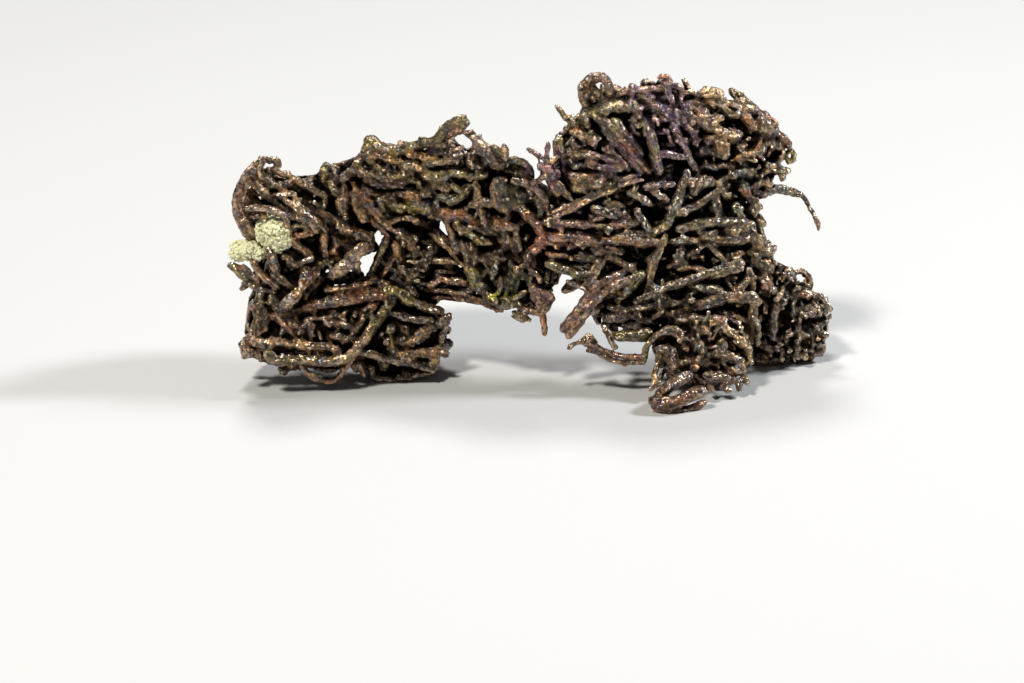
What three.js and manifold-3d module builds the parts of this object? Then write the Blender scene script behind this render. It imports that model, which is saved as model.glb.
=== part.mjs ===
// Native copper: a mass of copper rods and knobs that grew together into one body, with two pale
// mineral crusts on its left shoulder. Units are millimetres and +Z is up. The origin is under the
// middle of the bounding box, on the plane that the specimen stands on, with its face towards -Y.
import * as THREE from "three";
import { mergeVertices } from "three/addons/utils/BufferGeometryUtils.js";
import Module from "manifold-3d";

const wasm = await Module();
wasm.setup();

// The face is laid out on a sloping board, square to a line of sight that falls BOARD_FALL degrees
// and leans BOARD_LEAN degrees. A point [x, h, y] lies x to the right and h up on that board, and
// y behind the foot that stands foremost.
const BOARD_FALL = THREE.MathUtils.degToRad(20);
const BOARD_LEAN = THREE.MathUtils.degToRad(1.43);
const BOARD_DISTANCE = 610.2;
const BOARD_MIDDLE = 12;
const EYE = new THREE.Vector3(0, -556.2, 215.6);

// Where the middle of the bounding box lies in the board's space, and the height that stands on
// the ground.
const MIDDLE_X = 3.65;
const MIDDLE_Y = 17.25;
const GROUND_Z = 0;

// How rods and lumps are shaped.
const ROD_SIDES = 4;
const END_TAPER = 0.7;
const FLAT_WIDTH = 1.1;
const FLAT_THICKNESS = 0.62;
const TWIN_RADIUS = 0.62;
const TWIN_SPREAD = 0.5;
const KNOB_RADIUS = 1.08;
const KNOB_SWELL = 0.25;
const KNOB_SEED = 3;
const LUMP_SWELL = 1.08;
const LUMP_TURN = THREE.MathUtils.degToRad(22.5);
const LUMP_ROUGHNESS = 0.1;
const LUMP_SEED = 5;

// The front rods, region by region. Each kind of growth has its own list, and a rod is written as
// [radius, [x, h, y], ...] along its middle line.

// The arc that bounds the left end.
const LEFT_RIM = {
  twins: [
    [1, [-43,42.2,19.5], [-46.4,35.6,18.3], [-45.2,31.4,17.8], [-41,26.8,17.8]],
  ],
  rods: [
    [0.6, [-45,34.5,17.6], [-41.8,34.6,17.4], [-36,33,18.6], [-33.1,30.8,19.2]],
    [0.65, [-43.1,42.1,19.6], [-42.2,43,19.8], [-40,42.7,20], [-40.4,41,20.2]],
  ],
  flat: [
    [1, [-35.8,35.7,20.6], [-29,30.2,21]],
  ],
};

// The lower left mass.
const LEFT_FACE = {
  rods: [
    [0.9, [-41.4,9.9,11.8], [-39.8,8.8,11.9], [-27.3,9.8,12.6], [-19.6,19.7,18.7]],
    [0.55, [-35.6,7.9,13.2], [-33.2,5.7,13.6], [-29.9,5.6,13.8], [-27,9,12.6]],
    [1, [-37.6,17.3,16], [-20,19.9,18.8]],
    [0.7, [-26.8,10.5,13.4], [-13,7.5,16.2]],
    [0.6, [-24.1,7.7,16.8], [-22.6,5.7,17.9], [-18,5.9,18], [-13.8,6.8,17.4]],
    [0.7, [-47.3,24.9,17.6], [-45.2,22.6,17.4], [-41,22.4,19.6]],
    [0.55, [-45,21.8,17], [-40,20.1,16.4]],
  ],
  knobby: [
    [0.95, [-42.4,20.2,16.6], [-43.4,13.4,14.6]],
    [0.95, [-44.4,12.2,14], [-29.2,10.2,13]],
    [1.2, [-34.8,24,18.2], [-37.8,18.4,16]],
    [1.1, [-21.4,20.5,18.8], [-17.4,18.7,18.2]],
    [1.05, [-20.9,14.5,17.2], [-19.8,10.3,16]],
    [1.15, [-19.6,12.3,17], [-18,11.7,16.8], [-14.2,14.3,17.4]],
    [1.1, [-19.6,9.9,16], [-13,8.7,16.8]],
    [1.15, [-19.2,31.2,21.6], [-16.4,27.6,21]],
    [0.85, [-44.4,13,14.2], [-45.3,10.4,13.8], [-44.2,9.8,13.8]],
    [0.8, [-14.4,14,17.6], [-10.7,16.4,18]],
    [0.7, [-11.2,15.2,18], [-12.2,11.8,18]],
  ],
};

// The crown of the left half.
const LEFT_TOP = {
  knobby: [
    [0.85, [-24.9,44.8,22], [-17.8,44.6,20.4], [-13.2,45.9,17.8], [-10.2,49,16.4], [-7.7,49.1,16.2]],
    [0.8, [-24.6,44.1,21.4], [-17.2,42.2,20]],
    [0.9, [-26.8,40.8,22], [-17,40.6,20]],
    [1.15, [-28.4,38,22.2], [-28.2,33,21.4]],
    [1.1, [-26.8,36.8,21.8], [-24.8,32.9,21.4]],
    [1.2, [-29.8,32.4,21.2], [-24,29.6,21.4]],
    [1.1, [-20.8,35.6,21.4], [-13.6,34.6,19.6]],
    [0.9, [-9.4,31.8,17.4], [-3.6,28.8,16.6]],
    [0.8, [-30.2,41.4,22.9], [-29.6,39.2,22.6]],
  ],
  rods: [
    [1.05, [-6.5,46.2,15.6], [-2.4,42,15.4]],
    [0.8, [0.4,39.3,14.8], [4,38.1,14.2], [5.6,34.4,14.6]],
    [0.85, [1.2,34.8,15.2], [5.8,29.8,14]],
    [0.95, [-12,36.7,18.6], [-9.2,36.4,18], [-7,38.4,17.6]],
    [0.85, [-10.4,40.9,18.2], [-4.4,40.3,16.8]],
    [0.6, [-3,45.1,15], [-1.9,43,15.2]],
    [0.65, [-1.4,45,14.8], [-1.5,42.6,15.2]],
    [0.65, [-3,41.8,15.6], [1.8,42.3,15.4], [3.1,40.4,15.6]],
  ],
  twins: [
    [0.95, [-13.6,30.6,22.4], [-7.4,25,18.6]],
  ],
  flat: [
    [1.2, [-11.4,34,18.4], [-1.8,32.2,16.4]],
    [1.3, [-14.4,40.7,19.2], [-11.2,40.4,18.4]],
    [1.5, [-1.7,39.4,16], [0.4,35.4,15.6]],
    [1.3, [-2.6,38.2,16.2], [-1,34.4,16]],
  ],
};

// The crown of the right half, with its open hook and star.
const RIGHT_TOP = {
  rods: [
    [0.75, [12.6,51.8,17], [12,54.9,16.8], [13.6,56.7,16.6], [15.9,56.3,16.6], [16.6,53.9,17]],
    [0.8, [17.2,49.5,16.1], [21.9,44,16.6]],
    [0.8, [16,49.2,15.8], [23,40.9,16.8]],
    [0.95, [22.6,48.6,16.8], [24.9,40.9,16.4]],
    [0.65, [27.2,48.8,17.2], [31.8,40.4,18.6]],
    [0.5, [6.1,45.7,12.8], [6.3,40.6,13.6]],
    [0.45, [2.8,44.6,16], [6.1,41.8,13.5]],
    [0.6, [6.1,40.2,13.6], [9.8,36.4,14.2]],
    [0.5, [7.6,51.9,14.8], [9.9,49.3,15.4], [12.8,44.6,18.4]],
    [0.6, [20.6,54.6,18], [25.9,55,19]],
    [0.85, [26.1,55.8,19.4], [26.9,51.9,18.8]],
  ],
  twins: [
    [0.75, [6.6,33.1,13.8], [21.8,39.8,15.6]],
  ],
  knobby: [
    [1.05, [14.6,50.6,16.6], [22.4,51.6,17.8]],
    [1.1, [23.2,52,17.9], [27.4,50.9,18.4]],
  ],
};

// The upper right edge and the thin wire that curls down from it.
const RIGHT_RIM = {
  rods: [
    [0.85, [28.4,50.6,18.6], [36,47.6,19.4]],
    [0.8, [28,33.6,15.2], [36.5,38.7,19.3]],
    [0.8, [40.6,37.9,20.8], [42,36.9,21.4], [48,37.3,26.2]],
    [0.7, [39.1,53,22.6], [40.1,50.8,22.2]],
    [0.4, [48,37.4,26.2], [49.8,36,26.8], [51.2,33.4,26], [52,31,25.4]],
  ],
  knobby: [
    [0.8, [40,51.7,22.4], [46.8,45.2,24.6]],
    [1.15, [39.4,50,21.8], [43.4,46.6,22.8]],
    [1.15, [32,44.7,19.6], [35.4,43.9,19.6]],
    [1.25, [33,46.4,19.4], [37.8,46.6,20.4]],
    [1.2, [30.8,37.4,17.2], [33.4,39.1,18]],
  ],
};

// The middle of the right half.
const RIGHT_MID = {
  rods: [
    [0.7, [8.2,31.9,13.6], [21,32,14.6]],
    [1.05, [6.8,30,13.6], [14.8,28.8,13.8]],
    [0.8, [15.4,29,13.8], [24.6,29,14]],
    [0.85, [22.6,30.1,14.4], [26.8,32.8,15], [29.7,40.6,17.4]],
    [0.9, [25.8,29.6,14.4], [23,20.6,13.6]],
    [0.95, [6.3,25.2,13.8], [11.6,23.2,13]],
    [0.75, [21,18.8,12.8], [29,22.1,12.4], [38.8,25.5,14.8]],
    [0.65, [20.4,17.6,12.8], [30,18.6,12.6]],
    [0.9, [17.6,13,10.6], [23.2,13.5,10.6]],
    [0.85, [28.2,31,15], [39.6,32.1,16.8]],
    [0.85, [32.4,29.8,14.8], [39.8,29.3,15.8]],
    [0.8, [44.2,19.6,17.8], [44.2,12.8,18.2]],
  ],
  twins: [
    [1.25, [9.2,13.6,12.6], [13,18.8,12.1], [19.4,23.2,12.8]],
  ],
  flat: [
    [1, [28.4,17,12.2], [36.4,19.6,12.4], [41.6,18.8,13]],
  ],
};

// The foot that stands foremost, with its loops on the ground.
const FOOT = {
  rods: [
    [0.5, [26,9.6,8], [24.2,7,6.6], [23.5,3.9,5]],
    [0.75, [28.6,7.2,6.2], [31.4,7,5.4], [35,8.1,6.4]],
    [0.8, [30.8,7.9,6.6], [29.4,6.3,4], [24,2.4,-0.1]],
    [0.8, [23.7,2.3,0], [26.8,1.6,-0.6], [29.8,2.8,0], [32.4,3.9,0.6]],
    [0.65, [23.8,2,0.4], [28.2,0.8,0.6], [32.7,2.1,0.8]],
  ],
  flat: [
    [0.75, [34.2,15.1,9.8], [39.5,11,9.2], [39.6,8.6,9]],
  ],
  knobby: [
    [1.15, [28,13.4,9.8], [29.8,10.4,8.4]],
    [1.1, [25.4,10.7,8.4], [27.2,8,7]],
  ],
};

// The cluster at the lower right end.
const RIGHT_CLUSTER = {
  knobby: [
    [1.1, [42.6,11.6,19.8], [46.2,11.2,20.4]],
    [1.15, [45.4,17.3,19.8], [51.6,17,21.2]],
  ],
  rods: [
    [0.55, [48.9,24,23], [50.4,22.6,23.2], [50.2,20.4,22.6], [47.5,18,23]],
    [0.5, [45,21.4,21], [47,22.8,22.6], [49.2,24,23]],
    [0.55, [49.6,18.2,22], [52.3,19.7,21.2], [54,17.5,20.6]],
    [0.65, [51.4,15,21.2], [53.2,13.1,21.6]],
  ],
};

// The thin hanging loops under the middle.
const NECK = {
  knobby: [
    [0.85, [3.4,21.2,14.4], [5.2,18.1,13.8]],
    [0.9, [5.7,20,14], [6.5,18.9,13.8], [4.4,16.9,13.9], [1.6,17.3,15]],
    [0.6, [-1.4,24.4,15.8], [0.8,23.5,15.4], [0.9,21.3,15.4]],
  ],
  rods: [
    [0.5, [0.9,25.8,15], [3.4,23.9,14.2], [4.6,20.8,14.1]],
    [0.55, [5.2,17,14], [5.5,13.3,13.8]],
  ],
};

// Short roots that join the front rods to the heart.
const ROOTS = {
  rods: [
    [0.9, [-31,20.6,17.7], [-33,22,23]],
    [0.9, [-41,22,17], [-38.5,22,22]],
    [0.8, [-15,18,18.2], [-15.5,18.2,23]],
    [0.8, [-12.6,19.5,21.2], [-15,17.5,23]],
    [1.0, [-4,43.8,15.3], [-5.5,40,20]],
    [0.9, [1,38.9,15], [0,37,20]],
    [1.2, [-6.2,42,17.5], [-8.5,40.6,22]],
    [1.0, [5.9,41.7,13.5], [6.6,40.4,13.9], [10,41,18]],
    [1.0, [33.4,53.6,21], [30,51,23.5]],
    [1.0, [40.8,34.4,20.1], [39.5,32,22.5]],
    [1.0, [31.6,38.8,17.6], [33,40.5,22]],
    [0.9, [9,24.2,13.4], [8.6,26,18]],
    [0.9, [17.2,16,12.8], [19.5,17.6,17]],
    [0.9, [20.8,13,10.5], [27,12.2,12]],
    [0.9, [44.3,17.4,18], [45,17,22]],
    [1.0, [16.6,21.9,12.6], [18.5,22,17]],
    [0.9, [14.8,25,13], [15.8,26,17]],
    [0.9, [-43.4,41,19.4], [-41,38.8,20.8], [-37.2,37,23.6]],
    [0.8, [-36,33,18.7], [-36,32,22]],
    [1.0, [-22,44.4,21.7], [-21,41.6,25]],
    [1.0, [-13.4,45.7,18], [-12.4,43,22.5]],
    [0.9, [-21.6,40.7,21], [-22,39.6,24.4]],
    [0.9, [-29.9,40.2,22.8], [-27,38.4,25.4]],
    [0.9, [12.8,52.2,17], [15,49.8,20.4]],
    [0.8, [14,31.9,14], [13,30.6,17]],
    [1.0, [26.4,9.8,7.9], [29.4,10.6,11]],
    [1.1, [30.9,7.6,6.2], [31,10,10.5]],
    [0.9, [-18,6,18], [-18.6,10.4,21.4]],
    [1.0, [41,37.8,21], [38.4,40,23.6]],
  ],
};

// Two stout rods that reach down to the ground behind.
const FEET = {
  knobby: [
    [1.6, [-22,14,23], [-23,12.4,28.4], [-23.4,8.4,30.4]],
    [1.6, [34,18.5,21], [35.5,14.4,27.4], [35,9.8,30.4]],
  ],
};

const REGIONS = [
  LEFT_RIM, LEFT_FACE, LEFT_TOP, NECK, RIGHT_TOP, RIGHT_RIM, RIGHT_MID, FOOT, RIGHT_CLUSTER,
  ROOTS, FEET,
];

// The dense heart behind the rods, as lumps of [radius across, radius deep, radius up, [x, h, y]].
const HEART = [
  [8, 8, 9.5, [-36, 28, 25.5]],
  [6.5, 5.4, 4.6, [-35.5, 36, 24.8]],
  [7, 6.5, 9, [-38, 16, 20]],
  [9.5, 8, 8.6, [-22.5, 37, 28]],
  [9.5, 8.5, 8, [-10.5, 38, 25.5]],
  [7, 6, 8, [-16.5, 27, 25]],
  [8, 8, 8.4, [-3, 33.5, 22.5]],
  [8.6, 6.5, 6.8, [-19, 13.5, 22]],
  [9, 5.5, 5.6, [-29, 14.5, 19]],
  [8.4, 6.5, 6.8, [1, 25.4, 20]],
  [8, 5.5, 4.4, [10, 29.5, 18]],
  [8.5, 6.5, 9, [15, 41.5, 20.5]],
  [11, 6, 5.5, [23, 49.5, 22.5]],
  [8.5, 7, 8.5, [36.5, 44.5, 25.5]],
  [13, 8, 7.5, [29, 30, 21]],
  [13, 7.5, 6.6, [25.5, 20.5, 18.5]],
  [8, 6.5, 6.4, [32.5, 11.5, 13]],
  [4.8, 6.5, 7.5, [38.6, 28, 22]],
  [7, 6.5, 7.5, [46.3, 15.5, 24.5]],
  [4.6, 5.5, 5, [43, 21.6, 21]],
];

// Straight openings through the heart along the line of sight, as [radius, [x, h, y] in front].
const SLOTS = [
  [1.6, [-23.6, 27.5, 18]],
  [1.5, [24.6, 33.6, 12]],
];
const SLOT_DEPTH = 26;

// Rods that clothe the heart on its sides and back, grown from a fixed seed: how many lie on each
// lump, their lengths and radii, how far round to the back they face, and how deep they are set.
const CLOTHING_SEED = 206;
const CLOTHING_PER_LUMP = 2;
const CLOTHING_LENGTH = [7, 12];
const CLOTHING_RADIUS = [1.3, 2.1];
const CLOTHING_FACING = [0.15, 0.95];
const CLOTHING_DEPTH = 0.94;

// The crusts, as lumps of [radius, [x, h, y]], and the clearance that they keep to the copper.
const CRUST_UPPER = [
  [2.3, [-41.2, 31, 18.9]],
  [2.1, [-39.6, 30.9, 19.1]],
  [2.2, [-40.2, 29.2, 18.9]],
  [1.6, [-38.6, 29.4, 19.2]],
  [1.3, [-42.2, 29.9, 19]],
];
const CRUST_LOWER = [
  [1.8, [-46.2, 27.4, 18.6]],
  [1.7, [-44.6, 27.5, 18.4]],
  [1.2, [-43.2, 26.9, 18.2]],
];
const CRUST_CLEARANCE = 0.4;
const CRUST_SEED = 11;

const lineOfSight = new THREE.Vector3(0, Math.cos(BOARD_FALL), -Math.sin(BOARD_FALL));
const boardUp = new THREE.Vector3(0, Math.sin(BOARD_FALL), Math.cos(BOARD_FALL));
const level = new THREE.Vector3(1, 0, 0);
const boardX = level.clone().multiplyScalar(Math.cos(BOARD_LEAN))
  .addScaledVector(boardUp, -Math.sin(BOARD_LEAN));
const boardH = level.clone().multiplyScalar(Math.sin(BOARD_LEAN))
  .addScaledVector(boardUp, Math.cos(BOARD_LEAN));

// The place in space of a point [x, h, y] of the board.
function sight([x, h, y]) {
  const ray = lineOfSight.clone().multiplyScalar(BOARD_DISTANCE)
    .addScaledVector(boardX, x)
    .addScaledVector(boardH, h - BOARD_MIDDLE);
  return EYE.clone().addScaledVector(ray, (y - EYE.y) / ray.y);
}

// A repeatable stream of numbers from 0 to 1.
function seeded(seed) {
  let state = seed >>> 0;
  return () => {
    state = (state + 0x6d2b79f5) >>> 0;
    let t = state;
    t = Math.imul(t ^ (t >>> 15), t | 1);
    t ^= t + Math.imul(t ^ (t >>> 7), t | 61);
    return ((t ^ (t >>> 14)) >>> 0) / 4294967296;
  };
}

// A three.js geometry as a manifold-3d solid, with its shared vertices merged.
function solid(geometry) {
  geometry.deleteAttribute("normal");
  geometry.deleteAttribute("uv");
  const merged = mergeVertices(geometry, 1e-5);
  return new wasm.Manifold(new wasm.Mesh({
    numProp: 3,
    vertProperties: new Float32Array(merged.attributes.position.array),
    triVerts: new Uint32Array(merged.index.array),
  }));
}

// A rod through points in space: a cylinder whose rings are set on the points. Its width lies in
// widthDirection, and thickness is its depth as a share of its width.
function rodSolid(points, radii, widthDirection, thickness = 1) {
  const rings = points.length;
  const cylinder = new THREE.CylinderGeometry(1, 1, 1, ROD_SIDES, rings - 1);
  const place = cylinder.attributes.position;
  const along = points.map((_, i) => points[Math.min(i + 1, rings - 1)].clone()
    .sub(points[Math.max(i - 1, 0)]).normalize());
  for (let i = 0; i < place.count; i++) {
    const ring = Math.round((0.5 - place.getY(i)) * (rings - 1));
    const wide = widthDirection.clone()
      .addScaledVector(along[ring], -widthDirection.dot(along[ring])).normalize();
    const deep = along[ring].clone().cross(wide);
    const at = points[ring].clone()
      .addScaledVector(wide, place.getX(i) * radii[ring])
      .addScaledVector(deep, place.getZ(i) * radii[ring] * thickness);
    place.setXYZ(i, at.x, at.y, at.z);
  }
  return solid(cylinder);
}

// The direction that crosses both a rod and the line of sight.
function across(points) {
  const side = points[points.length - 1].clone().sub(points[0]).cross(lineOfSight);
  return side.lengthSq() > 1e-6 ? side.normalize() : level.clone();
}

// The radius at each point of a rod: thinner at the ends of a rod that bends.
function tapered(radius, count, swell = () => 1) {
  return Array.from({ length: count }, (_, i) =>
    radius * (count > 2 && (i === 0 || i === count - 1) ? END_TAPER : 1) * swell());
}

const knobRandom = seeded(KNOB_SEED);
const knobSwell = () => 1 + KNOB_SWELL * (knobRandom() - 0.5);

// A faceted lump with the given radii across, deep and up, turned by fall about the X axis. Its
// roughness is grown from the seed.
function ball(radii, centre, seed, fall = 0) {
  const random = seeded(seed);
  const geometry = new THREE.OctahedronGeometry(LUMP_SWELL, 1);
  geometry.deleteAttribute("normal");
  geometry.deleteAttribute("uv");
  const lump = mergeVertices(geometry);
  const place = lump.attributes.position;
  for (let i = 0; i < place.count; i++) {
    const rough = 1 + LUMP_ROUGHNESS * (2 * random() - 1);
    place.setXYZ(i, place.getX(i) * rough, place.getY(i) * rough, place.getZ(i) * rough);
  }
  lump.rotateZ(LUMP_TURN);
  lump.scale(...radii);
  lump.rotateX(-fall);
  lump.translate(centre.x, centre.y, centre.z);
  return solid(lump);
}

// One maker for each kind of growth in the regions' lists.
const makers = {
  rods: (radius, points) => [rodSolid(points, tapered(radius, points.length), across(points))],
  knobby: (radius, points) => [
    rodSolid(points, tapered(radius * KNOB_RADIUS, points.length, knobSwell), across(points)),
  ],
  flat: (radius, points) => [
    rodSolid(points, tapered(radius * FLAT_WIDTH, points.length), across(points), FLAT_THICKNESS),
  ],
  twins: (radius, points) => [-1, 1].map((sign) => {
    const side = across(points).multiplyScalar(sign * radius * TWIN_SPREAD);
    const moved = points.map((p) => p.clone().add(side));
    return rodSolid(moved, tapered(radius * TWIN_RADIUS, points.length), across(points));
  }),
};

// Every solid of a region, each thickened by extra.
function grow(region, extra = 0) {
  return Object.entries(region).flatMap(([kind, sticks]) =>
    sticks.flatMap(([radius, ...points]) => makers[kind](radius + extra, points.map(sight))));
}

// A lump of the heart, thickened by extra.
function heartLump(lump, extra = 0) {
  const [wide, deep, tall, centre] = lump;
  const radii = [wide + extra, deep + extra, tall + extra];
  return ball(radii, sight(centre), LUMP_SEED + HEART.indexOf(lump), BOARD_FALL);
}

// Rods laid at a tangent on the sides and back of each lump of the heart.
function clothing() {
  const random = seeded(CLOTHING_SEED);
  const between = ([low, high]) => low + (high - low) * random();
  return HEART.flatMap(([wide, deep, tall, centre]) =>
    Array.from({ length: CLOTHING_PER_LUMP }, () => {
      const turn = 2 * Math.PI * random();
      const facing = between(CLOTHING_FACING);
      const ring = Math.sqrt(1 - facing * facing);
      const out = new THREE.Vector3(ring * Math.cos(turn), facing, ring * Math.sin(turn));
      const lie = new THREE.Vector3(random() - 0.5, random() - 0.5, random() - 0.5);
      lie.addScaledVector(out, -lie.dot(out)).normalize().applyAxisAngle(level, -BOARD_FALL);
      const half = between(CLOTHING_LENGTH) / 2;
      const radius = between(CLOTHING_RADIUS);
      const middle = out.multiply(new THREE.Vector3(wide, deep, tall))
        .multiplyScalar(CLOTHING_DEPTH).applyAxisAngle(level, -BOARD_FALL).add(sight(centre));
      const points = [-1, 1].map((end) => middle.clone().addScaledVector(lie, end * half));
      return rodSolid(points, [radius, radius], across(points));
    }));
}

// A straight opening through the heart, from a point in front of it.
function slot([radius, front]) {
  const back = [front[0], front[1], front[2] + SLOT_DEPTH];
  return rodSolid([sight(front), sight(back)], [radius, radius], level);
}

// Joins solids two by two, so that the pieces stay small for as long as they can.
function joined(solids) {
  let rest = solids;
  while (rest.length > 1) {
    const next = [];
    for (let i = 0; i < rest.length; i += 2)
      next.push(i + 1 < rest.length ? rest[i].add(rest[i + 1]) : rest[i]);
    rest = next;
  }
  return rest[0];
}

const cut = (body, tools) => tools.reduce((left, tool) => left.subtract(tool), body);

// The largest of a solid's separate bodies, without the voids that are sealed inside it.
function largest(body) {
  return body.decompose().reduce((best, b) => (b.volume() > best.volume() ? b : best));
}

// Everything below the plane that the specimen stands on.
function ground() {
  const size = 400;
  const box = new THREE.BoxGeometry(size, size, size);
  box.translate(0, 0, GROUND_Z - size / 2);
  return solid(box);
}

function copper() {
  const heart = cut(joined(HEART.map((lump) => heartLump(lump))), SLOTS.map(slot));
  const rods = REGIONS.flatMap((region) => grow(region));
  return largest(cut(joined([heart, ...clothing(), ...rods]), [ground()]));
}

// A crust, cut back from the copper rods and the heart that it sits on.
function crust(lumps) {
  const mass = joined(lumps.map(([radius, at]) =>
    ball([radius, radius, radius], sight(at), CRUST_SEED)));
  const rods = [LEFT_RIM, LEFT_FACE].flatMap((region) => grow(region, CRUST_CLEARANCE));
  return largest(cut(mass, [heartLump(HEART[0], CRUST_CLEARANCE), ...rods]));
}

function mesh(name, body, material) {
  const { vertProperties, triVerts } = body.getMesh();
  const geometry = new THREE.BufferGeometry();
  geometry.setAttribute("position", new THREE.BufferAttribute(vertProperties, 3));
  geometry.setIndex(new THREE.BufferAttribute(triVerts, 1));
  geometry.computeVertexNormals();
  const made = new THREE.Mesh(geometry, material);
  made.name = name;
  return made;
}

const copperMaterial = new THREE.MeshStandardMaterial({
  color: 0x7d6a52, roughness: 0.45, metalness: 0.8,
});
const crustMaterial = new THREE.MeshStandardMaterial({
  color: 0xc6c795, roughness: 0.9, metalness: 0,
});

const specimen = new THREE.Group();
specimen.position.set(-MIDDLE_X, -MIDDLE_Y, -GROUND_Z);
specimen.add(
  mesh("native_copper", copper(), copperMaterial),
  mesh("crust_upper", crust(CRUST_UPPER), crustMaterial),
  mesh("crust_lower", crust(CRUST_LOWER), crustMaterial),
);

export default specimen;
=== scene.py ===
"""Native copper: a knotted mass of tarnished copper rods with two pale mineral crusts.

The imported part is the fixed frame. The copper is grown again here in fine detail, as a distance
field of rods, knobs and spikes around the same heart, and it is meshed in slices from left to
right. Lengths are millimetres until the meshes are made, which are in metres.
"""

import math

import bpy
import numpy as np
import openvdb
from mathutils import Matrix, Vector


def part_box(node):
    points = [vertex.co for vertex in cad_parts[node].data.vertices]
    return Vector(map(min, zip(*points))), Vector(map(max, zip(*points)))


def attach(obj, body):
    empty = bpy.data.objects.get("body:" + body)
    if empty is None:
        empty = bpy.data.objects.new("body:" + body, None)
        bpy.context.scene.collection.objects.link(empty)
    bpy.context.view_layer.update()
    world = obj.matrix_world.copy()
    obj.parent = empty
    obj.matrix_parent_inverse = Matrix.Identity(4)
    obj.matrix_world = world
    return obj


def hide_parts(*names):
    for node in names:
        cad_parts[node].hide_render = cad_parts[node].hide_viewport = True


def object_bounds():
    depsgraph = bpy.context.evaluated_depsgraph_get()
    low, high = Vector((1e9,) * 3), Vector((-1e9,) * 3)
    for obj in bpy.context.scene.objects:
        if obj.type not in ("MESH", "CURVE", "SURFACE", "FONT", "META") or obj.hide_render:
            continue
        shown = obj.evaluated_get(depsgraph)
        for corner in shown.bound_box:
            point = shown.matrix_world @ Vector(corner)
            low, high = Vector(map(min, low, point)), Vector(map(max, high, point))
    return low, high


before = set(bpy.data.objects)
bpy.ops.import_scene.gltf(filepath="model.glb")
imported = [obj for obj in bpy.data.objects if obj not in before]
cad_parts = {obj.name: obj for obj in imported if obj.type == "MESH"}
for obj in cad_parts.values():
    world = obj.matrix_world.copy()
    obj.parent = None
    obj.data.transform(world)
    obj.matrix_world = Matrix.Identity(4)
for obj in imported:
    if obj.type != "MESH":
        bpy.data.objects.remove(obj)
CAD_BOX = [list(map(float, corner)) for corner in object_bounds()]

MM = 0.001

# ---------------------------------------------------------------- the board

# The face is laid out on a sloping board, square to the line of sight of the camera. A point
# [x, h, y] lies x to the right and h up on that board, and y behind the foremost foot.
BOARD_FALL = np.radians(20)
BOARD_LEAN = np.radians(1.43)
BOARD_DISTANCE = 610.2
BOARD_MIDDLE = 12
EYE = np.array([0, -556.2, 215.6])

# Where the part's origin lies in the board's space.
ORIGIN = np.array([3.65, 17.25, 0])

# The camera frames the board so that a millimetre of it is FRAME_SCALE pixels of a frame that is
# FRAME_WIDTH pixels wide.
FRAME_SCALE = 5.9
FRAME_WIDTH = 1024
SENSOR = 36.0

LINE_OF_SIGHT = np.array([0, np.cos(BOARD_FALL), -np.sin(BOARD_FALL)])
BOARD_UP = np.array([0, np.sin(BOARD_FALL), np.cos(BOARD_FALL)])
LEVEL = np.array([1.0, 0, 0])
BOARD_X = np.cos(BOARD_LEAN) * LEVEL - np.sin(BOARD_LEAN) * BOARD_UP
BOARD_H = np.sin(BOARD_LEAN) * LEVEL + np.cos(BOARD_LEAN) * BOARD_UP


def sight(points):
    """Places in the part's frame of points [x, h, y] of the board."""
    points = np.atleast_2d(np.asarray(points, float))
    rays = (BOARD_DISTANCE * LINE_OF_SIGHT + points[:, :1] * BOARD_X
            + (points[:, 1:2] - BOARD_MIDDLE) * BOARD_H)
    reach = (points[:, 2:] - EYE[1]) / rays[:, 1:2]
    return EYE + rays * reach - ORIGIN


def board(places):
    """The board's x and h of places in the part's frame."""
    rays = np.asarray(places) + ORIGIN - EYE
    away = (rays @ LINE_OF_SIGHT) / BOARD_DISTANCE
    return (rays @ BOARD_X) / away, (rays @ BOARD_H) / away + BOARD_MIDDLE
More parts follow.
